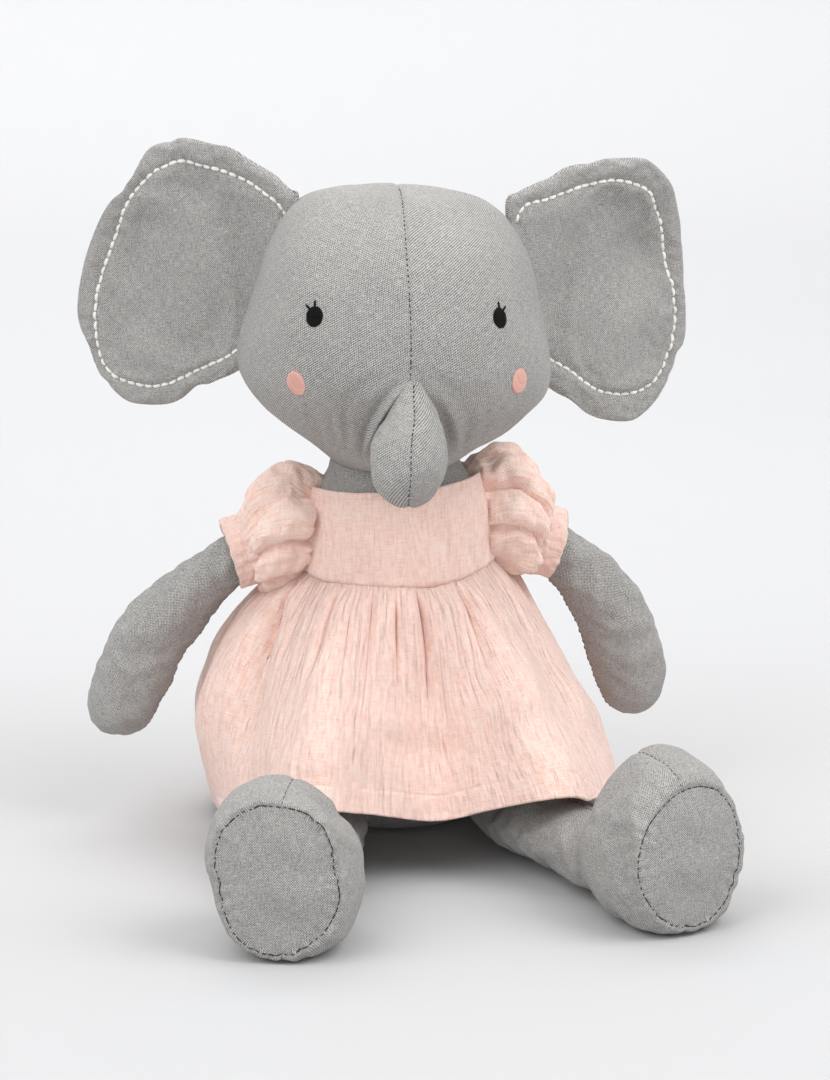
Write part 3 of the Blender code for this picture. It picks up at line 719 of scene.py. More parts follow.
def on_face(tree, x, z):
    """A point of the face and its normal, from head-frame x and z in millimetres."""
    start = HEAD @ Vector((x * MM, -0.2, z * MM))
    hit, normal, _, _ = tree.ray_cast(start, HEAD.to_3x3() @ Vector((0, 1, 0)))
    return hit, normal


def pressed(tree, point, normal, rise):
    """A point pushed back onto the face, a little proud of it, and the face's normal."""
    hit, face, _, _ = tree.ray_cast(point + normal * REACH / 2, -normal)
    return hit + face * rise * MM, face


def satin(name, tree, centre, size, lean, count, material, node, rough=0.06):
    """An oval filled with satin stitch: threads side by side across it, domed a little."""
    origin, normal = on_face(tree, *centre)
    up = HEAD.to_3x3() @ UP
    up = (up - normal * up.dot(normal)).normalized()
    across = up.cross(normal)
    c, s = math.cos(lean), math.sin(lean)
    a, b = across * c + up * s, up * c - across * s
    skew = c * s * (1 / size[1] ** 2 - 1 / size[0] ** 2)
    square = (c / size[0]) ** 2 + (s / size[1]) ** 2
    tall = (s / size[0]) ** 2 + (c / size[1]) ** 2
    reach = 1 / math.sqrt(tall - skew ** 2 / square)
    lines = []
    for layer, dome in ((0, 0.10), (1, 0.30)):
        for i in range(count):
            v = (i + 0.5 * layer + 0.5) / count * 2 - 1
            if abs(v) >= 1:
                continue
            # where a thread at this offset enters and leaves the oval
            w = v * reach
            middle = -w * skew / square
            half = math.sqrt(max((w * skew) ** 2 - square * (w * w * tall - 1), 0)) / square
            half *= 1 + rough * RNG.uniform(-1, 1)
            path, ups = [], []
            for t in np.linspace(-1, 1, 9):
                rise = dome * (1 - v * v) * (1 - t ** 4) + 0.14
                p, face = pressed(tree, origin + a * (middle + t * half) + b * w, normal, rise)
                path.append(p)
                ups.append(face)
            lines.append((path, ups, reach / count * (1.15 + 0.15 * RNG.uniform(-1, 1))))
    made = threads(name, lines, material, sides=6, flat=0.75, blunt=8)
    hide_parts(node)
    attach(made, "head")
    return origin, across, up, normal


EYES = {"left": (39.3, 83.2), "right": (-41.3, 82.7)}       # x and z in the head's frame
CHEEKS = {"left": (49.2, 54.9), "right": (-48.7, 52.9)}
EYE_SIZE, CHEEK_SIZE = (4.1 * MM, 4.5 * MM), (4.8 * MM, 5.8 * MM)
LASHES = ((0.2, 3.8, 0.5, 7.2), (2.3, 2.9, 4.7, 4.9))       # out and up, from root to tip


def build_face(tree):
    for side, sign in SIDES.items():
        origin, across, up, normal = satin(
            f"eye_{side}_stitching", tree, EYES[side], EYE_SIZE, 0.0, 15, BLACK,
            f"eye_{side}", 0.04)
        lashes = []
        for x0, z0, x1, z1 in LASHES:
            spots = [origin + across * sign * (x0 + (x1 - x0) * t) * MM
                     + up * (z0 + (z1 - z0) * t) * MM for t in np.linspace(0, 1, 7)]
            path, ups = zip(*(pressed(tree, spot, normal, 0.25) for spot in spots))
            lashes.append((path, ups, 0.52 * MM))
        made = threads(f"eye_{side}_lashes", lashes, BLACK, blunt=6)
        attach(made, "head")
        satin(f"cheek_{side}_stitching", tree, CHEEKS[side], CHEEK_SIZE, math.radians(62),
              19, BLUSH, f"cheek_{side}")


# ---------------------------------------------------------------- trunk

TRUNK_ROWS = [
    # height, middle x, half width, front y, back y (millimetres, head frame)
    (59.5, 1.6, 1.6, -70.6, -66.5), (57.5, 1.5, 3.4, -72.0, -64.0),
    (54.0, 1.3, 4.9, -74.6, -62.6), (50.0, 1.2, 6.5, -78.4, -62.2),
    (46.0, 1.2, 8.6, -82.4, -62.2), (41.5, 0.8, 11.4, -86.6, -62.6),
    (37.0, -0.1, 14.0, -90.4, -63.2), (31.5, -0.7, 16.3, -93.6, -64.0),
    (26.0, -0.8, 16.5, -95.6, -65.0), (20.0, -0.8, 15.9, -96.0, -66.6),
    (14.5, -1.0, 14.4, -94.8, -68.8), (10.0, -1.1, 12.2, -92.6, -71.6),
    (6.6, -0.9, 9.2, -89.4, -75.0), (4.4, -0.6, 5.6, -86.0, -78.4), (3.6, -0.4, 2.0, -83.4, -80.8),
]
TRUNK_COLS, TRUNK_STEPS = 128, 92


def build_trunk():
    z, x0, wide, front, back = columns(spline(TRUNK_ROWS, TRUNK_STEPS)[::-1])
    phi = angles(TRUNK_COLS)[None]
    y0, deep = (front + back) / 2, (back - front) / 2
    round_x = np.sign(np.sin(phi)) * np.abs(np.sin(phi)) ** 0.92
    P = np.stack([x0 + wide * round_x, y0 - deep * np.cos(phi), z + 0 * phi], axis=2)
    h = 0.35 * ripple(P, 22, 11) + 0.12 * ripple(P, 8, 12)
    pull = 1 + 0.5 * np.sin(P[..., 2] * TURN / 5.5)
    for at in (0, np.pi):
        away = apart(phi, at) * wide
        h = h - 0.65 * near(away, 0.95) - 0.28 * pull * near(away, 3.2)
    P = placed(raised(P, h) * MM, HEAD)
    trunk = cloth_mesh("trunk_skin", P, LINEN_FACE, caps=(True, True),
                       seams=[0, TRUNK_COLS // 2])
    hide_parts("trunk_left_panel", "trunk_right_panel", "trunk_stuffing")
    path = P[TRUNK_STEPS - 7:5:-1, 0]
    lines = stitches(tree_of(trunk), path, 2.5 * MM, 1.7 * MM, 0.26 * MM, 0.18 * MM, 0.5)
    seam = threads("trunk_front_seam", lines, DARK_SEAM)
    for obj, slot in ((trunk, "linen_grey"), (seam, "thread_black")):
        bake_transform(obj)


# ---------------------------------------------------------------- ears

EAR_OUTLINES = {
    "left": [(-20.6, 40.4), (-14.3, 46.7), (-4.3, 50.8), (2.8, 53.2), (10.6, 57.8), (26.0, 60.6),
             (38.6, 61.3), (46.9, 61.1), (52.3, 58.8), (60.6, 51.9), (65.8, 46.2), (69.4, 39.9),
             (73.6, 31.0), (76.6, 20.2), (78.3, 9.4), (79.2, -6.8), (79.2, -24.0), (75.3, -32.0),
             (70.2, -41.6), (63.3, -50.0), (55.0, -56.3), (47.6, -59.5), (36.9, -58.8),
             (27.2, -56.1), (15.4, -49.6), (3.1, -41.8), (-9.0, -33.0), (-14.0, 2.0)],
    "right": [(-16.1, 34.2), (-11.4, 38.5), (-4.5, 44.3), (5.6, 49.4), (15.8, 55.1), (24.9, 56.7),
              (40.3, 59.3), (47.6, 57.5), (56.8, 53.0), (63.3, 43.4), (70.4, 34.3), (76.9, 26.8),
              (83.2, 15.6), (88.6, 3.0), (91.4, -6.8), (93.2, -16.1), (93.9, -24.6), (92.3, -32.0),
              (88.4, -40.4), (82.2, -51.0), (76.6, -56.6), (70.6, -60.9), (64.4, -63.3),
              (55.4, -63.6), (46.4, -62.6), (39.5, -59.8), (32.6, -55.3), (21.1, -49.6),
              (13.8, -46.2), (0.0, -38.0), (-12.0, -28.0), (-14.0, 2.0)],
}
EAR_STITCHES = {
    "left": [(-16.2, 33.1), (-14.8, 37.1), (-11.2, 40.7), (-2.9, 42.7), (7.2, 45.6), (16.2, 48.6),
             (26.9, 50.7), (35.0, 51.4), (43.3, 49.9), (51.2, 46.1), (56.5, 39.5), (61.9, 31.5),
             (65.2, 22.6), (67.3, 13.7), (70.2, 2.9), (71.8, -6.1), (72.2, -15.0), (70.0, -25.8),
             (65.5, -36.4), (58.5, -43.6), (50.3, -46.9), (42.0, -47.9), (31.9, -45.9),
             (23.5, -41.7), (15.0, -35.7), (5.5, -30.1), (1.1, -26.7)],
    "right": [(-11.1, 25.3), (-8.1, 30.1), (-3.7, 33.8), (4.2, 38.8), (13.1, 43.2), (22.4, 45.8),
              (32.3, 47.5), (40.3, 48.5), (48.2, 45.8), (55.2, 41.4), (62.1, 34.6), (67.6, 26.6),
              (72.6, 16.3), (77.2, 5.4), (81.7, -6.4), (84.2, -18.1), (84.2, -30.2),
              (82.1, -40.8), (77.4, -48.8), (69.7, -53.3), (58.9, -55.3), (48.8, -54.5),
              (39.2, -50.5), (29.2, -45.1), (19.8, -40.7), (10.9, -35.0)],
}
EAR_MIDDLE = np.array([38.0, -2.0])
EAR_COLS, EAR_STEPS = 260, 46


def path_distance(x, y, path, closed):
    """Distance from each point to a path in the plane."""
    ends = list(zip(path, path[1:])) + ([(path[-1], path[0])] if closed else [])
    best = np.full(x.shape, FAR)
    for a, b in ends:
        dx, dy, _ = from_segment(x, y, a, b)
        best = np.minimum(best, np.hypot(dx, dy))
    return best


EAR_SEEDS = {"left": 21, "right": 22}
EAR_HELD = 14         # rows about the two middles, where the grid closes up


def ear_bend(x, y, side):
    """How the whole ear waves and cups, in millimetres out of its plane."""
    wave = 1.5 * ripple(np.stack([x, y, 0 * x], axis=-1), 62, EAR_SEEDS[side]) * step(x, 6, 40)
    fold = -3.2 * bump(x - 0.25 * y, 9, 8) * step(np.abs(y), 46, 10)
    cup = 2.6 * step(np.hypot(x - 38, y), 20, 56)
    return wave + fold + cup * step(x, 0, 20)


def build_ear(side):
    sign = SIDES[side]
    matrix = ear_matrix(side)
    outline = spline(EAR_OUTLINES[side], EAR_COLS, closed=True)
    stitch_line = spline(EAR_STITCHES[side], 150)
    share = 1 - (1 - np.linspace(0, 1, EAR_STEPS + 1)[1:]) ** 1.5
    flat = EAR_MIDDLE + share[:, None, None] * (outline[None] - EAR_MIDDLE)
    x, y = flat[..., 0], flat[..., 1]
    edge = path_distance(x, y, outline[::2], True)
    sewn = path_distance(x, y, stitch_line[::2], False)
    P = np.stack([x, y, 0 * x], axis=-1)
    rim = 3.3 * np.sqrt(1 - (1 - np.clip(edge / 4.2, 0, 1)) ** 2)
    inside = step(edge, 8, 15)
    thick = rim * (1 - inside) + inside * (2.7 + 0.5 * ripple(P, 30, 31))
    thick = thick - 1.55 * near(sewn, 1.5) - 0.5 * near(sewn, 4.0)
    pucker = near(sewn, 5.5) * (0.35 * ripple(P, 7, 33) + 0.25 * ripple(P, 12, 34))
    thick = np.maximum(thick + pucker * np.clip(edge / 3, 0, 1), 0.35 * np.clip(edge, 0, 1))
    bend = ear_bend(x, y, side)
    front, back = (np.stack([sign * x, y, bend + thick * k], axis=2) for k in (1, -0.9))
    held = (sewn < 1.3) | (x < 12)
    P, held = (np.concatenate([a, b[-2::-1]]) for a, b in ((front, back), (held, held)))
    held[:EAR_HELD] = held[-EAR_HELD:] = True
    if sign > 0:
        P, held = P[:, ::-1], held[:, ::-1]
    P = settled(placed(P * MM, matrix), 2, 2, held, 1.3 * MM, slack=0.03, pressure=1.0)
    ear = cloth_mesh(f"ear_{side}_skin", P[::-1], LINEN, caps=(True, True))
    map_flat(ear, matrix, (0, 1))
    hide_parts(f"ear_{side}_front_panel", f"ear_{side}_back_panel")
    tree = tree_of(ear)
    pieces = [ear]
    x, y = stitch_line.T
    bend = ear_bend(x, y, side)
    for face, toward in (("front", 1), ("back", -1)):
        path = placed(np.stack([sign * x, y, bend + toward * 3.0], axis=1) * MM, matrix)
        lines = stitches(tree, path, 4.35 * MM, 4.2 * MM, 0.84 * MM, 0.46 * MM, 0.10, 9,
                         matrix.to_3x3() @ Vector((0, 0, -toward)))
        made = threads(f"ear_{side}_{face}_stitches", lines, CREAM, flat=0.72, blunt=3.0)
        if face == "front":
            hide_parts(f"ear_{side}_topstitch")
        pieces.append(made)
    for obj in pieces:
        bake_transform(obj)


def map_flat(obj, matrix, axes):
    """Cloth positions of a nearly flat piece: its place along two axes of its own frame."""
    local = placed(np.array([v.co for v in obj.data.vertices]), matrix.inverted())
    index = [corner.vertex_index for corner in obj.data.loops]
    flat = local[index][:, axes].astype(np.float32)
    obj.data.uv_layers["cloth"].data.foreach_set("uv", flat.ravel())


# ---------------------------------------------------------------- torso, neck

TORSO_ROWS = [
    # height, half width, reach to the front, reach to the back (millimetres)
    (0.6, 8, 8, 8), (0.3, 24, 22, 22), (0.9, 33, 29, 30), (4, 39, 35, 36), (11, 43.5, 39, 40),
    (24, 46.4, 41.4, 42), (45, 47.8, 42.8, 42.8), (80, 46.3, 41.3, 41.3),
    (115, 42.3, 37.3, 37.3), (136, 40.0, 34.8, 34.6), (147, 36.5, 32, 31.8),
    (152.5, 32, 28.5, 28), (154, 24, 21, 21),
]
NECK_ROWS = [
    (146, 30, 27, 27), (149, 36.5, 31.0, 30.6), (152, 38.2, 32.0, 31.4), (156, 37.0, 31.2, 30.6),
    (160, 34.0, 29.4, 29.0), (164, 31.2, 27.6, 27.2), (168, 29.6, 26.6, 26.2),
    (172, 27.0, 24.5, 24.2),
]


def tube(rows, steps, cols):
    """Oval rings about the vertical, their angles and their radii."""
    z, wide, front, back = columns(spline(rows, steps))
    phi = angles(cols)[None]
    radius = oval(phi, wide, front, back, 2.0)
    return np.stack([radius * np.sin(phi), -radius * np.cos(phi), z + 0 * phi], axis=2), phi, radius


def seam_dent(phi, radius, z, at):
    away = apart(phi, at) * radius
    pull = 1 + 0.5 * np.sin(z * TURN / 6.5)
    return -0.7 * near(away, 1.1) - 0.35 * pull * near(away, 3.6)


def build_torso():
    P, phi, radius = tube(TORSO_ROWS, 110, 160)
    z = P[..., 2]
    h = (0.5 * ripple(P, 40, 41) + 0.2 * ripple(P, 14, 42)) * step(z, 1, 12)
    for at in (np.pi * 0.54, np.pi * 1.46):
        h = h + seam_dent(phi, radius, z, at) * step(z, 1, 6)
    torso = cloth_mesh("torso_skin", raised(P, h) * MM, LINEN, caps=(True, True),
                       seams=[43, 117])
    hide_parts("torso_front_panel", "torso_back_panel", "torso_stuffing")
    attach(torso, "torso")

    P, phi, radius = tube(NECK_ROWS, 44, 140)
    z = P[..., 2]
    h = 0.35 * ripple(P, 16, 43) + 0.25 * ripple(P, 30, 44)
    h = h + 0.5 * np.sin(phi * 17 + 2 * np.sin(phi * 3)) * step(z, 160, 168)
    for at in (np.pi * 0.5, np.pi * 1.5):
        h = h + seam_dent(phi, radius, z, at)
    neck = cloth_mesh("neck_skin", raised(P, h) * MM, LINEN, caps=(True, True),
                      seams=[35, 105])
    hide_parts("neck_casing", "neck_stuffing")
    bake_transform(neck)


# ---------------------------------------------------------------- arms

ARM_PATHS = {
    # x away from the middle, height, half width, half depth (millimetres)
    "left": [(57.5, 132.5, 4.0, 4.0), (58.5, 132.0, 8.5, 8.5), (67.0, 128.0, 10.4, 10.2),
             (77.0, 121.6, 11.3, 11.2), (85.0, 114.4, 12.2, 12.0), (93.2, 105.6, 14.1, 13.2),
             (100.4, 96.0, 15.7, 14.4), (106.2, 84.5, 16.5, 15.0), (109.9, 72.0, 16.3, 15.0),
             (112.6, 60.5, 15.2, 14.0), (113.9, 52.0, 13.4, 12.6), (114.4, 46.4, 9.8, 9.6),
             (114.5, 43.2, 4.6, 4.8), (114.5, 42.5, 1.6, 1.6)],
    "right": [(60.0, 131.0, 4.0, 4.0), (61.0, 130.4, 8.5, 8.5), (69.0, 126.0, 10.4, 10.2),
              (81.0, 118.4, 11.5, 11.4), (92.0, 109.6, 12.9, 12.4), (101.5, 100.2, 15.6, 13.8),
              (110.8, 90.4, 16.6, 14.8), (118.3, 76.4, 16.9, 15.2), (124.4, 62.6, 16.4, 14.6),
              (128.2, 53.0, 14.6, 13.2), (130.0, 47.4, 11.4, 10.4), (131.0, 43.6, 6.0, 6.0),
              (131.2, 42.4, 1.8, 1.8)],
}
ARM_COLS, ARM_STEPS = 112, 130
ARM_Y, ARM_LENGTH = 4, 125.0


def build_arm(side):
    sign = SIDES[side]
    rows = spline(ARM_PATHS[side], ARM_STEPS)
    along = np.gradient(rows[:, :2], axis=0)
    along /= np.linalg.norm(along, axis=1)[:, None]
    out_x, out_z = -along[:, 1, None], along[:, 0, None]    # towards the arm's outer edge
    phi = angles(ARM_COLS)[None]
    x0, z0, wide, deep = columns(rows)
    side_way = wide * np.sign(np.cos(phi)) * np.abs(np.cos(phi)) ** 0.95
    P = np.stack([sign * (x0 + out_x * side_way), ARM_Y + deep * np.sin(phi),
                  z0 + out_z * side_way], axis=2)
    if sign < 0:
        P, phi = P[:, ::-1], phi[:, ::-1]
    run = np.linspace(0, 1, ARM_STEPS)[:, None]
    inner, outer = np.abs(phi - np.pi) * wide, apart(phi, 0) * wide
    h = 0.45 * ripple(P, 34, 51) + 0.18 * ripple(P, 12, 52)
    gather = np.sin(run * ARM_LENGTH * TURN / 6.2 + 0.8 * np.sin(run * 31))
    bendy = 1.0 * step(run, 0.28, 0.42) * step(run, 0.85, 0.6)
    h = h - 0.8 * near(inner, 1.1)
    uneven = 0.6 + 0.4 * np.sin(run * 23 + sign)
    h = h + (0.16 * gather * uneven - 0.40) * near(inner, 6.5) * (0.5 + bendy)
    h = h - 0.55 * near(outer, 1.0) - 0.2 * (1 + 0.6 * gather) * near(outer, 3.4)
    h = h * step(run, 0.0, 0.06) * step(run, 1.0, 0.965)
    held = (run < 0.10) | (run > 0.97) | (inner < 1.2) | (outer < 1.2)
    P = settled(raised(P, h) * MM, 3, 4, held, 1.5 * MM)
    seam_at = int(np.argmin(np.abs(phi[0] - np.pi)))
    arm = cloth_mesh(f"arm_{side}_skin", P, LINEN, caps=(True, True),
                     seams=sorted([seam_at, (seam_at + ARM_COLS // 2) % ARM_COLS]), flip=sign > 0)
    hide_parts(f"arm_{side}_front_panel", f"arm_{side}_back_panel", f"arm_{side}_stuffing",
                f"shoulder_{side}_tab")
    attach(arm, f"arm_{side}")
    sew(f"arm_{side}_seam", tree_of(arm), P[34:118, seam_at], (2.9, 1.9, 0.26, 0.12), 0.6,
        DARK_SEAM, f"arm_{side}")


# ---------------------------------------------------------------- legs

LEG_ROWS = [
    # along the leg, half width, middle height, half height (millimetres)
    (12, 4, 18, 3), (13, 9, 18, 7), (20, 14, 18, 11), (32, 17.0, 18, 15.2), (50, 18.0, 18, 17.3),
    (72, 18.0, 18.2, 17.8), (92, 17.6, 18.6, 18.2), (106, 17.0, 18.8, 18.2),
    (116, 17.2, 20.0, 19.2), (124, 20.0, 24.0, 23.4), (131, 24.0, 29.0, 28.6),
    (139, 28.0, 33.5, 33.0), (147, 30.0, 35.2, 34.8), (153, 30.0, 35.2, 34.8),
]
LEG_END, RIM_STEPS = 170.5, 22
FOOT_OUTLINES = {        # across and up, before the rim and at the sole's edge (millimetres)
    "left": ([(-25, 27), (-23.5, 42.8), (-20, 53), (-14.6, 60.5), (-7.2, 67), (2.5, 71.5), (12, 71),
              (20.5, 66), (28.5, 57), (32.5, 45), (33.5, 32), (32, 16), (24, 4), (10, 0.3),
              (-8, 0.3), (-18, 4), (-23, 13)],
             [(18, 60.2), (5.6, 62.5), (-3.8, 60.1), (-12.1, 54.6), (-20.2, 45.7), (-23.3, 27.5),
              (-18.2, 17.3), (-12.6, 9.9), (-2, 3.9), (8, 3.4), (17, 8), (26.3, 21.4),
              (27.9, 37.6), (25.5, 50)]),
    "right": ([(-4, 68.8), (8.7, 63.4), (19, 53.3), (25, 42.6), (26, 33), (27, 20), (22.5, 7),
               (9, 0.4), (-3, 0.4), (-13, 3), (-24, 12), (-30, 27), (-32, 42), (-27, 58),
               (-17, 66.5)],
              [(-26.4, 50.2), (-19.4, 59.6), (-9.6, 64.5), (0, 64.9), (9.6, 62.3), (19.2, 54),
               (22.3, 40.4), (24.6, 27.9), (21.4, 19.4), (12, 8.9), (3.1, 3.9), (-8.3, 4.5),
               (-15.2, 7.7), (-21.6, 14.8), (-26.9, 32), (-28.4, 44)]),
}
LEG_COLS, LEG_STEPS, SOLE_STEPS = 168, 150, 46
LEG_MIDDLE, FOOT_MIDDLE = 18, 34      # heights of their middles, in millimetres


LEAN = 2.6 / FOOT_MIDDLE        # the sole leans back at the top
HIP_ROWS = [(-2, 9, 4), (4, 13.5, 7), (12, 13.5, 7.5), (20, 14.5, 9.5), (25, 12, 8)]


def around(points, phi):
    """Distance from the foot's middle to an outline drawn round it, by angle from the top."""
    points = np.array(points, float) - (0, FOOT_MIDDLE)
    angle = np.arctan2(points[:, 0], points[:, 1])
    order = np.argsort(angle)
    reach = np.interp(phi, angle[order], np.hypot(*points[order].T), period=TURN)
    return np.convolve(np.concatenate([reach[-5:], reach, reach[:5]]), soft_kernel(11),
                       mode="valid")


def leg_rows():
    """Places along the leg and the foot's size there. The last ones turn in to the sole."""
    rows = spline(LEG_ROWS, LEG_STEPS - RIM_STEPS)
    turn = np.linspace(0, math.radians(80), RIM_STEPS + 1)[1:]
    last = np.repeat(rows[-1:], RIM_STEPS, axis=0)
    last[:, 0] += (LEG_END - rows[-1, 0]) * np.sin(turn) / math.sin(turn[-1])
    rim = np.concatenate([np.zeros(LEG_STEPS - RIM_STEPS),
                          (1 - np.cos(turn)) / (1 - math.cos(turn[-1]))])
    return np.concatenate([rows, last]), rim[:, None]


def build_leg(side):
    matrix = leg_matrix(side)
    sign = SIDES[side]
    rows, rim = leg_rows()
    s, wide, up, tall = columns(rows)
    phi = angles(LEG_COLS)[None]        # 0 is the top
    flat = np.where(np.cos(phi) < 0, 0.90, 1.0)
    a = wide * np.sin(phi)
    b = up + tall * np.cos(phi) * flat + 0.02 * tall * (1 - flat)
    before, after = (around(points, phi[0])[None] for points in FOOT_OUTLINES[side])
    reach = before * (1 - rim) + after * rim
    toe = step(s, 117, 147)
    a = a * (1 - toe) + reach * np.sin(phi) * toe
    b = b * (1 - toe) + (FOOT_MIDDLE + reach * np.cos(phi)) * toe
    P = np.stack([s - LEAN * step(s, 112, 150) * (b - FOOT_MIDDLE), a, b - LEG_MIDDLE], axis=2)
    N = -normals_of(P)
    h = 0.5 * ripple(P, 36, 61 + sign) + 0.18 * ripple(P, 12, 63)
    ankle = bump(s, 117, 8) * step(np.cos(phi - 0.9 * sign), -0.5, 0.7)
    h = h + ankle * (0.9 * np.sin(s * TURN / 6.5 + 2.2 * np.cos(phi) + phi) - 1.4)
    for at in (0, np.pi):
        away = apart(phi, at) * wide
        pull = 1 + 0.6 * np.sin(s * TURN / 6.0 + at)
        h = h - 0.7 * near(away, 1.1) - 0.28 * pull * near(away, 3.8)
    # the foot puckers where the sole is sewn in
    pinch = np.sin(phi * 34 + 1.5 * np.sin(phi * 5)) * 0.5 + 0.5 * np.sin(phi * 21 + 1)
    uneven = 0.55 + 0.45 * np.sin(phi * 3 + sign) * np.sin(phi * 7)
    h = h + 0.75 * pinch * uneven * step(s, 158, LEG_END - 2) - 1.3 * step(rim, 0.75, 1.0)
    held = (s < 34) | (s > LEG_END - 4) | (np.abs(np.sin(phi)) * wide < 1.2)
    P = settled(raised(P, h, N) * MM, 3, 4, held, 1.6 * MM) / MM
    P[..., 2] = np.maximum(P[..., 2], 0.3 - LEG_MIDDLE + 0.09 * ripple(P, 20, 66))
    # the sole: from its sewn edge to its middle, softly domed
    edge = P[-1]
    centre = edge.mean(0)
    share = np.linspace(1, 0, SOLE_STEPS + 1)[1:-1, None]
    sole = centre + (edge[None] - centre) * share[..., None]
    uneven = edge[:, 0] - centre[0] + LEAN * (edge[:, 2] - centre[2])
    sole[..., 0] = centre[0] - LEAN * (sole[..., 2] - centre[2]) + uneven[None] * share ** 6
    dome = 1 - share ** 2
    ring = np.sin(phi * 27 + np.sin(phi * 4)) * near((1 - share) * 26, 5.0)
    sole[..., 0] += 3.2 * dome + 0.5 * ripple(sole, 24, 67) * dome + 0.28 * ring
    rim_edge = P[-1:] - N[-1:] * 0.5 + (0.30, 0, 0)
    sole = placed(np.concatenate([P[-2:-1] - N[-2:-1] * 1.2, rim_edge, sole]) * MM, matrix)
    P = placed(P * MM, matrix)
    under = LEG_COLS // 2
    leg = cloth_mesh(f"leg_{side}_skin", P, LINEN, caps=(True, True), seams=[0, under],
                     flip=True)
    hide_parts(f"leg_{side}_inner_panel", f"leg_{side}_outer_panel", f"leg_{side}_stuffing")
    bottom = cloth_mesh(f"leg_{side}_sole_skin", sole, LINEN, caps=(False, True), flip=True)
    map_flat(bottom, matrix, (1, 2))
    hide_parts(f"leg_{side}_sole")
    for obj in (leg, bottom):
        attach(obj, f"leg_{side}")
    tree = tree_of(leg, bottom)
    lines = stitches(tree, np.concatenate([P[-1], P[-1][:1]]), 3.0 * MM, 2.6 * MM, 0.28 * MM,
                     0.03 * MM, 0.6)
    for at in (0, under):
        lines += stitches(tree, P[40:LEG_STEPS - 2, at], 2.9 * MM, 1.8 * MM, 0.24 * MM,
                          0.10 * MM, 0.5)
    seam = threads(f"leg_{side}_seams", lines, DARK_SEAM)
    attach(seam, f"leg_{side}")
    # the soft neck of cloth at the hip
    s, wide, tall = columns(spline(HIP_ROWS, 34))
    phi = angles(72)[None]
    P = np.stack([s + 0 * phi, wide * np.sin(phi), tall * np.cos(phi)], axis=2)
    P = raised(P, -(0.5 * ripple(P, 7, 68) + 0.3 * np.sin(phi * 13)))
    hip = cloth_mesh(f"hip_{side}_skin", placed(P * MM, matrix), LINEN, caps=(True, True),
                     flip=True)
    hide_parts(f"hip_{side}_tab")
    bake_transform(hip)


# ---------------------------------------------------------------- dress

DRESS_COLS = 720
CLOTH_THICKNESS = 1.1 * MM
WAIST = ([-48, -36, -21, 0, 8, 18, 30, 41, 48],         # x, and the seam's height there
         [119.2, 118.0, 116.6, 116.2, 116.2, 117.2, 119.4, 121.6, 122.2])
NECKLINE = ([-42, -30, -15, 0, 15, 30, 40], [157.6, 158.2, 158.6, 159.2, 160.4, 162.4, 163.6])
BODICE_ROWS = [
    # share of the way up, half width, reach to the front, reach to the back (millimetres)
    (0.0, 46.6, 41.4, 41.2), (0.2, 45.8, 40.6, 40.2), (0.45, 44.8, 39.0, 38.6),
    (0.7, 43.0, 36.8, 36.6), (0.88, 40.8, 34.8, 34.6), (1.0, 39.0, 33.2, 33.0),
]
BODICE_STEPS = 64
BACK_LAP = 10         # columns by which the back overlaps at its opening


def thickened(obj, thickness):
    """Gives the cloth its thickness, inwards, as part of its mesh."""
    solid = obj.modifiers.new("cloth", "SOLIDIFY")
    solid.thickness = thickness
    solid.offset = -1
    solid.use_even_offset = False
    graph = bpy.context.evaluated_depsgraph_get()
    mesh = bpy.data.meshes.new_from_object(obj.evaluated_get(graph))
    obj.modifiers.clear()
    old = obj.data
    obj.data = mesh
    bpy.data.meshes.remove(old)


def build_bodice():
    cols = DRESS_COLS // 2
    t, wide, front, back = columns(spline(BODICE_ROWS, BODICE_STEPS))
    phi = angles(cols)[None]
    radius = oval(phi, wide, front, back, 2.15)
    x, y = radius * np.sin(phi), -radius * np.cos(phi)
    low, high = np.interp(x[:1], *WAIST), np.interp(x[-1:], *NECKLINE)
    P = np.stack([x, y, low + (high - low) * t], axis=2)
    h = 0.45 * ripple(P, 26, 71, (1, 1, 1.8)) + 0.22 * ripple(P, 9, 72, (1, 1, 2.6))
    h = h + 0.30 * ripple(P, 4.5, 73, (1, 1, 4.0)) * (0.4 + 0.6 * step(t, 0.5, 0.0))
    h = h - 0.7 * step(t, 0.05, 0.0) + 0.35 * bump(t, 0.055, 0.02)
    h = h + 0.30 * step(t, 0.86, 0.89) - 0.5 * step(t, 0.985, 1.0)
    # the opening down the back: the doll's left side laps over the right
    half, lapped = cols // 2, 2 * BACK_LAP + 6
    order = [c % cols for c in range(half - BACK_LAP, half + cols + BACK_LAP)]
    strip = raised(P, h)[:, order]
    lift = np.zeros(len(order))
    lift[:lapped] = np.linspace(1.5, 0.0, lapped)
    strip = raised(strip, lift[None], normals_of(strip, wrap=False)) * MM
    bodice = cloth_mesh("bodice_skin", strip, GAUZE_PLAIN, wrap=False)
    thickened(bodice, CLOTH_THICKNESS)
    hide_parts("bodice_front", "bodice_back_left", "bodice_back_right")
    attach(bodice, "torso")
    tree = tree_of(bodice)
    for name, row, pitch in (("waist", 1, 2.6), ("neckline", int(BODICE_STEPS * 0.87), 3.0)):
        sew(f"bodice_{name}_seam", tree, strip[row], (pitch, 1.7, 0.17, 0.05), 0.4,
            PINK_SEAM, "torso", sides=6)


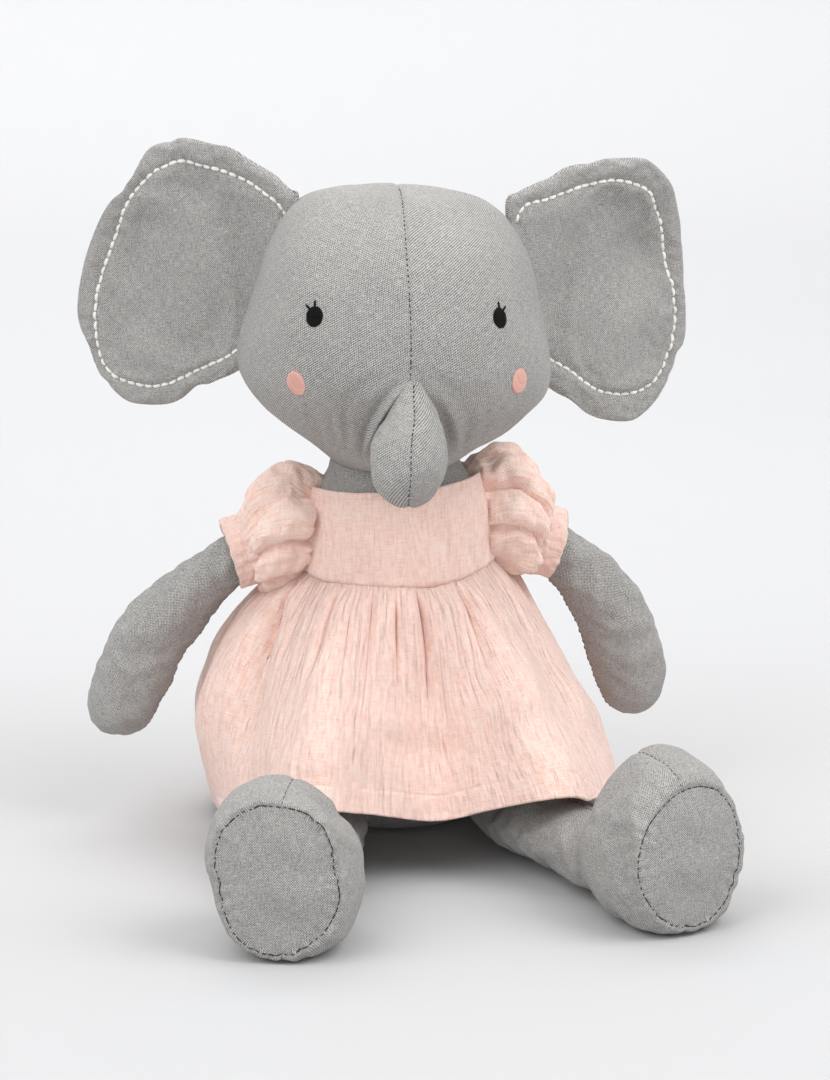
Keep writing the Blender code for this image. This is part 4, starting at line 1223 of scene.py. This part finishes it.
HEM = [
    # the hem around the doll, from the middle of the front towards +X (millimetres)
    (2, -100, 26.0), (26, -110, 33.0), (46, -127, 41.5), (60, -125, 40.5), (74, -117, 31.0),
    (86, -99, 20.0), (95, -62, 10.0), (101, -16, 8.0), (95, 34, 4.2), (62, 70, 3.2), (2, 82, 3.0),
    (-55, 68, 3.2), (-79, 36, 4.2), (-83, -10, 7.0), (-82, -56, 13.0), (-78, -88, 23.0),
    (-72, -110, 33.0), (-61, -123, 40.0), (-47, -127, 41.0), (-28, -113, 34.5),
]
SWELL = [
    # angle from the front in degrees, swell at 15, 40 and 70 per cent of the way down
    (-180, 7, 11, 7), (-125, 13, 22, 16), (-90, 12, 24, 19), (-62, 6, 12, 9), (-25, 2.5, 4.5, 3),
    (0, 2, 3.5, 2.5), (30, 2, 4, 2.5), (60, 2, 4, 3), (90, 2, 5, 5), (130, 5, 9, 7),
    (180, 7, 11, 7),
]
SWELL_PLACES = (0, 0.15, 0.4, 0.7, 1)
SKIRT_STEPS = 150
LEG_CLEARANCE = 20.4


def outwards(phi, up):
    return np.stack([np.sin(phi), -np.cos(phi), up + 0 * phi], axis=-1)


def folds(angle):
    """Round crests and sharp valleys."""
    return 1 - 2 * (1 - np.abs(np.sin(angle / 2))) ** 1.6


def swelling(t, degrees):
    """How far the skirt swells: a smooth curve through the three swells of the table."""
    total = 0
    for place, value in zip(SWELL_PLACES[1:-1], table(SWELL, degrees[0])):
        share = 1
        for other in SWELL_PLACES:
            if other != place:
                share = share * (t - other) / (place - other)
        total = total + share * value[None]
    return total


def build_skirt():
    # as many columns for each stretch of hem as the waist seam has above it
    hem = spline(HEM, DRESS_COLS * 2, closed=True)
    hem = hem[(np.arange(DRESS_COLS) * 2 - 6) % (2 * DRESS_COLS)]
    phi = angles(DRESS_COLS)[None]
    t = np.linspace(0, 1, SKIRT_STEPS)[:, None]
    x, y = 45.6 * np.sin(phi), -40.4 * np.cos(phi)
    top = np.stack([x, y, np.interp(x, *WAIST) + 0.2], axis=2)
    P = top * (1 - t[..., None]) + hem[None] * t[..., None]
    degrees = np.degrees((phi + np.pi) % TURN - np.pi)
    out = outwards(phi, 0.12)
    P = P + out * swelling(t, degrees)[..., None]
    # gathers: tight pinches at the seam that open into fewer, softer folds
    wander = 0.5 * np.sin(2 * phi + 1) + 0.42 * np.sin(5 * phi + 2) + 0.15 * np.sin(11 * phi)
    many = folds(phi * 41 + 5 * wander + 1.0 * t * np.sin(3 * phi))
    some = folds(phi * 25 + 4 * wander + 0.9 + 0.9 * t * np.sin(2 * phi + 1))
    few = np.sin(phi * 9 + 2.5 * wander + 2)
    front = near(degrees + 8, 30)
    amount = 0.55 + 0.40 * np.sin(4 * phi + 0.6) + 0.35 * np.sin(11 * phi + 2.2)
    amount = np.clip(amount, 0.05, 1.3) + 0.80 * front
    h = 0.9 * many * amount * step(t, 0, 0.07) * step(t, 0.24, 0.06)
    h = h + 3.2 * some * amount * step(t, 0.0, 0.12) * step(t, 0.56, 0.06)
    h = h + 1.3 * front * step(t, 0.0, 0.12) * step(t, 0.56, 0.10)
    h = h + 2.2 * few * step(t, 0.1, 0.5) * step(t, 1.25, 0.6)
    # the lap crumples the cloth a little, low down at the front
    h = h + 1.0 * ripple(P, 26, 84, (2.4, 1, 1)) * bump(t, 0.66, 0.20) * front
    h = h - 6.0 * near(degrees + 70 - 6 * t, 6.0) * step(t, 0.02, 0.2) * step(t, 0.9, 0.4)
    h = h + 0.8 * ripple(P, 40, 83) * step(t, 0.15, 0.6)
    flat = np.stack(np.broadcast_arrays(phi * 95, 117 * t, 0 * t), axis=2)
    h = h + 0.18 * ripple(flat, 5.0, 81, (1, 6, 1)) * step(t, 0, 0.1)
    h = h + 0.45 * step(t, 0.895, 0.905) - 0.2 * bump(t, 0.893, 0.006)      # the hem's edge
    share = step(t, 0, 0.25)[..., None]
    P = P + (outwards(phi, 0.55) * share + out * (1 - share)) * h[..., None]
    P[0] = top[0]
    P[..., 2] = np.maximum(P[..., 2], 1.6)
    P = clear_of_legs(P) * MM
    skirt = cloth_mesh("skirt_skin", P, GAUZE, span=0.60)
    thickened(skirt, CLOTH_THICKNESS)
    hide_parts("skirt_front", "skirt_back")
    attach(skirt, "torso")
    hem = P[int(SKIRT_STEPS * 0.905)]
    sew("skirt_hem_seam", tree_of(skirt), np.concatenate([hem, hem[:1]]),
        (3.0, 1.7, 0.10, 0.02), 0.4, PINK_SEAM, "torso", sides=6)


def clear_of_legs(P):
    """Lifts the cloth off the legs where it would lie in them."""
    for side in SIDES:
        along, across, up = np.moveaxis(placed(P * MM, leg_matrix(side).inverted()) / MM, 2, 0)
        roof = np.sqrt(np.maximum(LEG_CLEARANCE ** 2 - across ** 2, 0)) + 1.0
        low = (along > 0) & (np.abs(across) < LEG_CLEARANCE) & (up < roof) & (up > 2)
        P[..., 2] = np.where(low, P[..., 2] + (roof - up), P[..., 2])
    return P


SLEEVE_ROWS = [
    # x from the middle, middle height, half height, half depth (millimetres). The first rows
    # close the sleeve inside the bodice, so that no gap opens there as the arm rises.
    (29.5, 138.0, 2.0, 2.0), (30.6, 138.0, 8.5, 8.0), (33.2, 138.2, 15.0, 13.5),
    (37.2, 138.4, 20.6, 18.4), (42.0, 138.9, 24.0, 21.2), (45.6, 139.6, 25.8, 23.2),
    (50.2, 140.2, 27.6, 25.2), (55.2, 139.6, 27.2, 25.2), (60.2, 137.2, 24.8, 23.2),
    (64.4, 133.4, 20.6, 20.0), (67.4, 129.8, 16.6, 16.6), (70.6, 127.4, 14.4, 14.6),
]
SLEEVE_INSIDE = 0.26        # share of the sleeve that lies inside the bodice
SLEEVE_SAG = {"left": 0.0, "right": 3.6}
SLEEVE_COLS, SLEEVE_STEPS = 220, 92


SLEEVE_SEEDS = {"left": 91, "right": 96}
CUFF_MIDDLE, CUFF_RADIUS, CUFF_WIDTH, CUFF_STEPS = (66.6, 2.6, 128.0), 16.2, 10.0, 34
CUFF_SLOPE = math.radians(17)


def mirrored(P, sign):
    """The right side's own copy of a grid made for the left, with its columns reversed."""
    P = P * (sign, 1, 1)
    return P if sign > 0 else P[:, ::-1]


def build_sleeve(side):
    x0, z0, tall, deep = columns(spline(SLEEVE_ROWS, SLEEVE_STEPS))
    phi = angles(SLEEVE_COLS)[None]     # 0 is the top
    t = np.linspace(0, 1, SLEEVE_STEPS)[:, None]
    t = np.clip((t - SLEEVE_INSIDE) / (1 - SLEEVE_INSIDE), 0, 1)
    z = z0 + tall * np.cos(phi)
    x = x0 + (z - z0) * np.interp(t, [0, 0.25, 0.8, 1], [-0.23, -0.12, 0.16, 0.26])
    P = np.stack([x, 2.0 + deep * np.sin(phi), z - SLEEVE_SAG[side] * bump(t, 0.35, 0.38)], axis=2)
    seed = SLEEVE_SEEDS[side]
    rng = np.random.default_rng(seed)
    wander = 0.8 * np.sin(phi * 2 + rng.uniform(0, 6)) + 0.5 * np.sin(phi * 3 + rng.uniform(0, 6))
    deep_folds = folds(phi * 7 + wander * 1.5 + 3.2 * t + rng.uniform(0, 6))
    pinches = folds(phi * 19 + wander * 2.5 + rng.uniform(0, 6))
    middle = step(t, 0.0, 0.30) * step(t, 1.0, 0.72)
    ends = step(t, 0.02, 0.10) * step(t, 0.42, 0.12) + step(t, 0.98, 0.90) * step(t, 0.6, 0.88)
    h = 3.0 * deep_folds * middle + 0.8 * pinches * ends
    h = h + 0.7 * ripple(P, 20, seed + 1) * middle + 0.16 * ripple(P, 6, seed + 2)
    h = h * step(t, 0, 0.04) * step(t, 1.0, 0.97)
    P = raised(P, h, -normals_of(P))
    held = np.broadcast_to((t < 0.01) | (t > 0.97), h.shape)
    P = settled(P * MM, 3, 4, held, 3.0 * MM, slack=0.12, pressure=2.0)
    sleeve = cloth_mesh(f"sleeve_{side}_skin", mirrored(P, SIDES[side]), GAUZE_PUFF_PAINTED_LIGHT, flip=True,
                        span=0.165)
    thickened(sleeve, 1.0 * MM)
    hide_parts(f"sleeve_{side}")
    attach(sleeve, f"arm_{side}")

    # the cuff: a doubled band around the arm
    c, s = math.cos(CUFF_SLOPE), math.sin(CUFF_SLOPE)
    t = np.linspace(0, 1, CUFF_STEPS)[:, None]
    radius = CUFF_RADIUS + 0.4 * t - 1.3 * step(t, 0.12, 0.0) - 0.7 * step(t, 0.93, 1.0)
    radius = (radius + 0.30 * np.sin(phi * 19 + wander * 2.5) * step(t, 0.7, 0.0)
              + 0.25 * np.sin(phi * 5 + 1) + 0.25 * np.sin(phi * 3 + 2))
    along, up, across = CUFF_WIDTH * t, radius * np.cos(phi), radius * np.sin(phi)
    P = CUFF_MIDDLE + np.stack([c * along + s * up, across, c * up - s * along], axis=2)
    P = mirrored(raised(P, -0.22 * ripple(P, 5, seed + 4)), SIDES[side])
    cuff = cloth_mesh(f"cuff_{side}_skin", P * MM, GAUZE_PLAIN, flip=True)
    thickened(cuff, 1.4 * MM)
    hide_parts(f"cuff_{side}")
    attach(cuff, f"arm_{side}")


def build_snaps():
    for name in ("back_snap_upper", "back_snap_lower"):
        materials = bpy.data.objects[name].data.materials
        materials.clear()
        materials.append(SNAP)


# ---------------------------------------------------------------- build

build_face(build_head())
build_trunk()
for side in SIDES:
    build_ear(side)
build_torso()
for side in SIDES:
    build_arm(side)
    build_leg(side)
build_bodice()
build_skirt()
for side in SIDES:
    build_sleeve(side)
build_snaps()


# ---------------------------------------------------------------- studio

# one paper colour with painted light: darker on the floor near the middle, lighter up the backdrop
PAPER_WITH_PAINTED_LIGHT = ((0.30, (0.57, 0.57, 0.575)), (0.72, (0.68, 0.68, 0.685)))
SWEEP = [(0.02, 0), (0.6, 0), (1.4, 0), (2.2, 0.0), (2.7, 0.10), (3.1, 0.5), (3.25, 1.2),
         (3.3, 2.8)]              # reach and height, in metres
FLOOR_GAP = 0.0004
AIM = (0, 0, 0.12)
LAMPS = {                         # power, size, place, aim
    "key": (18, 1.2, (1.10, -0.75, 1.50), AIM),
    "fill": (14, 1.4, (-1.20, -0.75, 1.35), AIM),
    "front": (2.6, 1.0, (-0.15, -1.60, 0.40), (0, 0, 0.08)),
    "top": (5, 1.2, (-0.10, 0.30, 1.70), AIM),
    "backdrop": (38, 2.2, (0.0, 1.4, 2.2), (0, 3.0, 0.4)),
}


def studio_material():
    """Pale matt paper with painted light: darker on the floor and a little lighter where it curves
    up behind.
    """
    n = Nodes("studio_paper")
    reach = n.node("ShaderNodeVectorMath", operation="LENGTH")
    n.link(n.node("ShaderNodeTexCoord").outputs["Object"], reach.inputs[0])
    n.colour(n.math("MULTIPLY", reach.outputs["Value"], 0.25), *PAPER_WITH_PAINTED_LIGHT)
    return n.finish(0.9, sheen=0.0, specular=0.2)


def build_studio():
    # a round sweep: a floor that curves up into a backdrop on every side
    reach, height = columns(spline(SWEEP, 70))
    turn = angles(96)[None]
    P = np.stack([reach * np.cos(turn), reach * np.sin(turn), 0 * turn + height - FLOOR_GAP],
                 axis=2)
    sweep = cloth_mesh("studio_sweep", P, studio_material(), caps=(True, False))
    world = bpy.data.worlds.new("studio")
    bpy.context.scene.world = world
    world.use_nodes = True
    sky = world.node_tree.nodes["Background"].inputs
    sky[0].default_value = (0.98, 0.99, 1.0, 1)
    sky[1].default_value = 0.81
    for name, (power, size, place, aim) in LAMPS.items():
        data = bpy.data.lights.new(name, "AREA")
        data.energy, data.size = power, size
        obj = bpy.data.objects.new(name, data)
        obj.location = place
        obj.rotation_euler = (Vector(aim) - Vector(place)).to_track_quat("-Z", "Y").to_euler()
        obj.visible_camera = False
        bpy.context.scene.collection.objects.link(obj)


FRAME_HEIGHT, FOCAL_PIXELS = 1080, 2935


def build_camera():
    azimuth, elevation, distance = math.radians(-9), math.radians(12), 1.35
    right = Vector((math.cos(azimuth), math.sin(azimuth), 0))
    forward = Vector((-math.sin(azimuth) * math.cos(elevation),
                      math.cos(azimuth) * math.cos(elevation), -math.sin(elevation)))
    target = Vector((0, 0, 0.130)) + right * 0.009
    data = bpy.data.cameras.new("camera")
    data.sensor_width = 36
    data.lens = data.sensor_width * FOCAL_PIXELS / FRAME_HEIGHT
    obj = bpy.data.objects.new("camera", data)
    obj.location = target - forward * distance
    obj.rotation_euler = forward.to_track_quat("-Z", "Y").to_euler()
    bpy.context.scene.collection.objects.link(obj)
    bpy.context.scene.camera = obj


build_studio()
build_camera()
bpy.context.scene.view_settings.view_transform = "Standard"
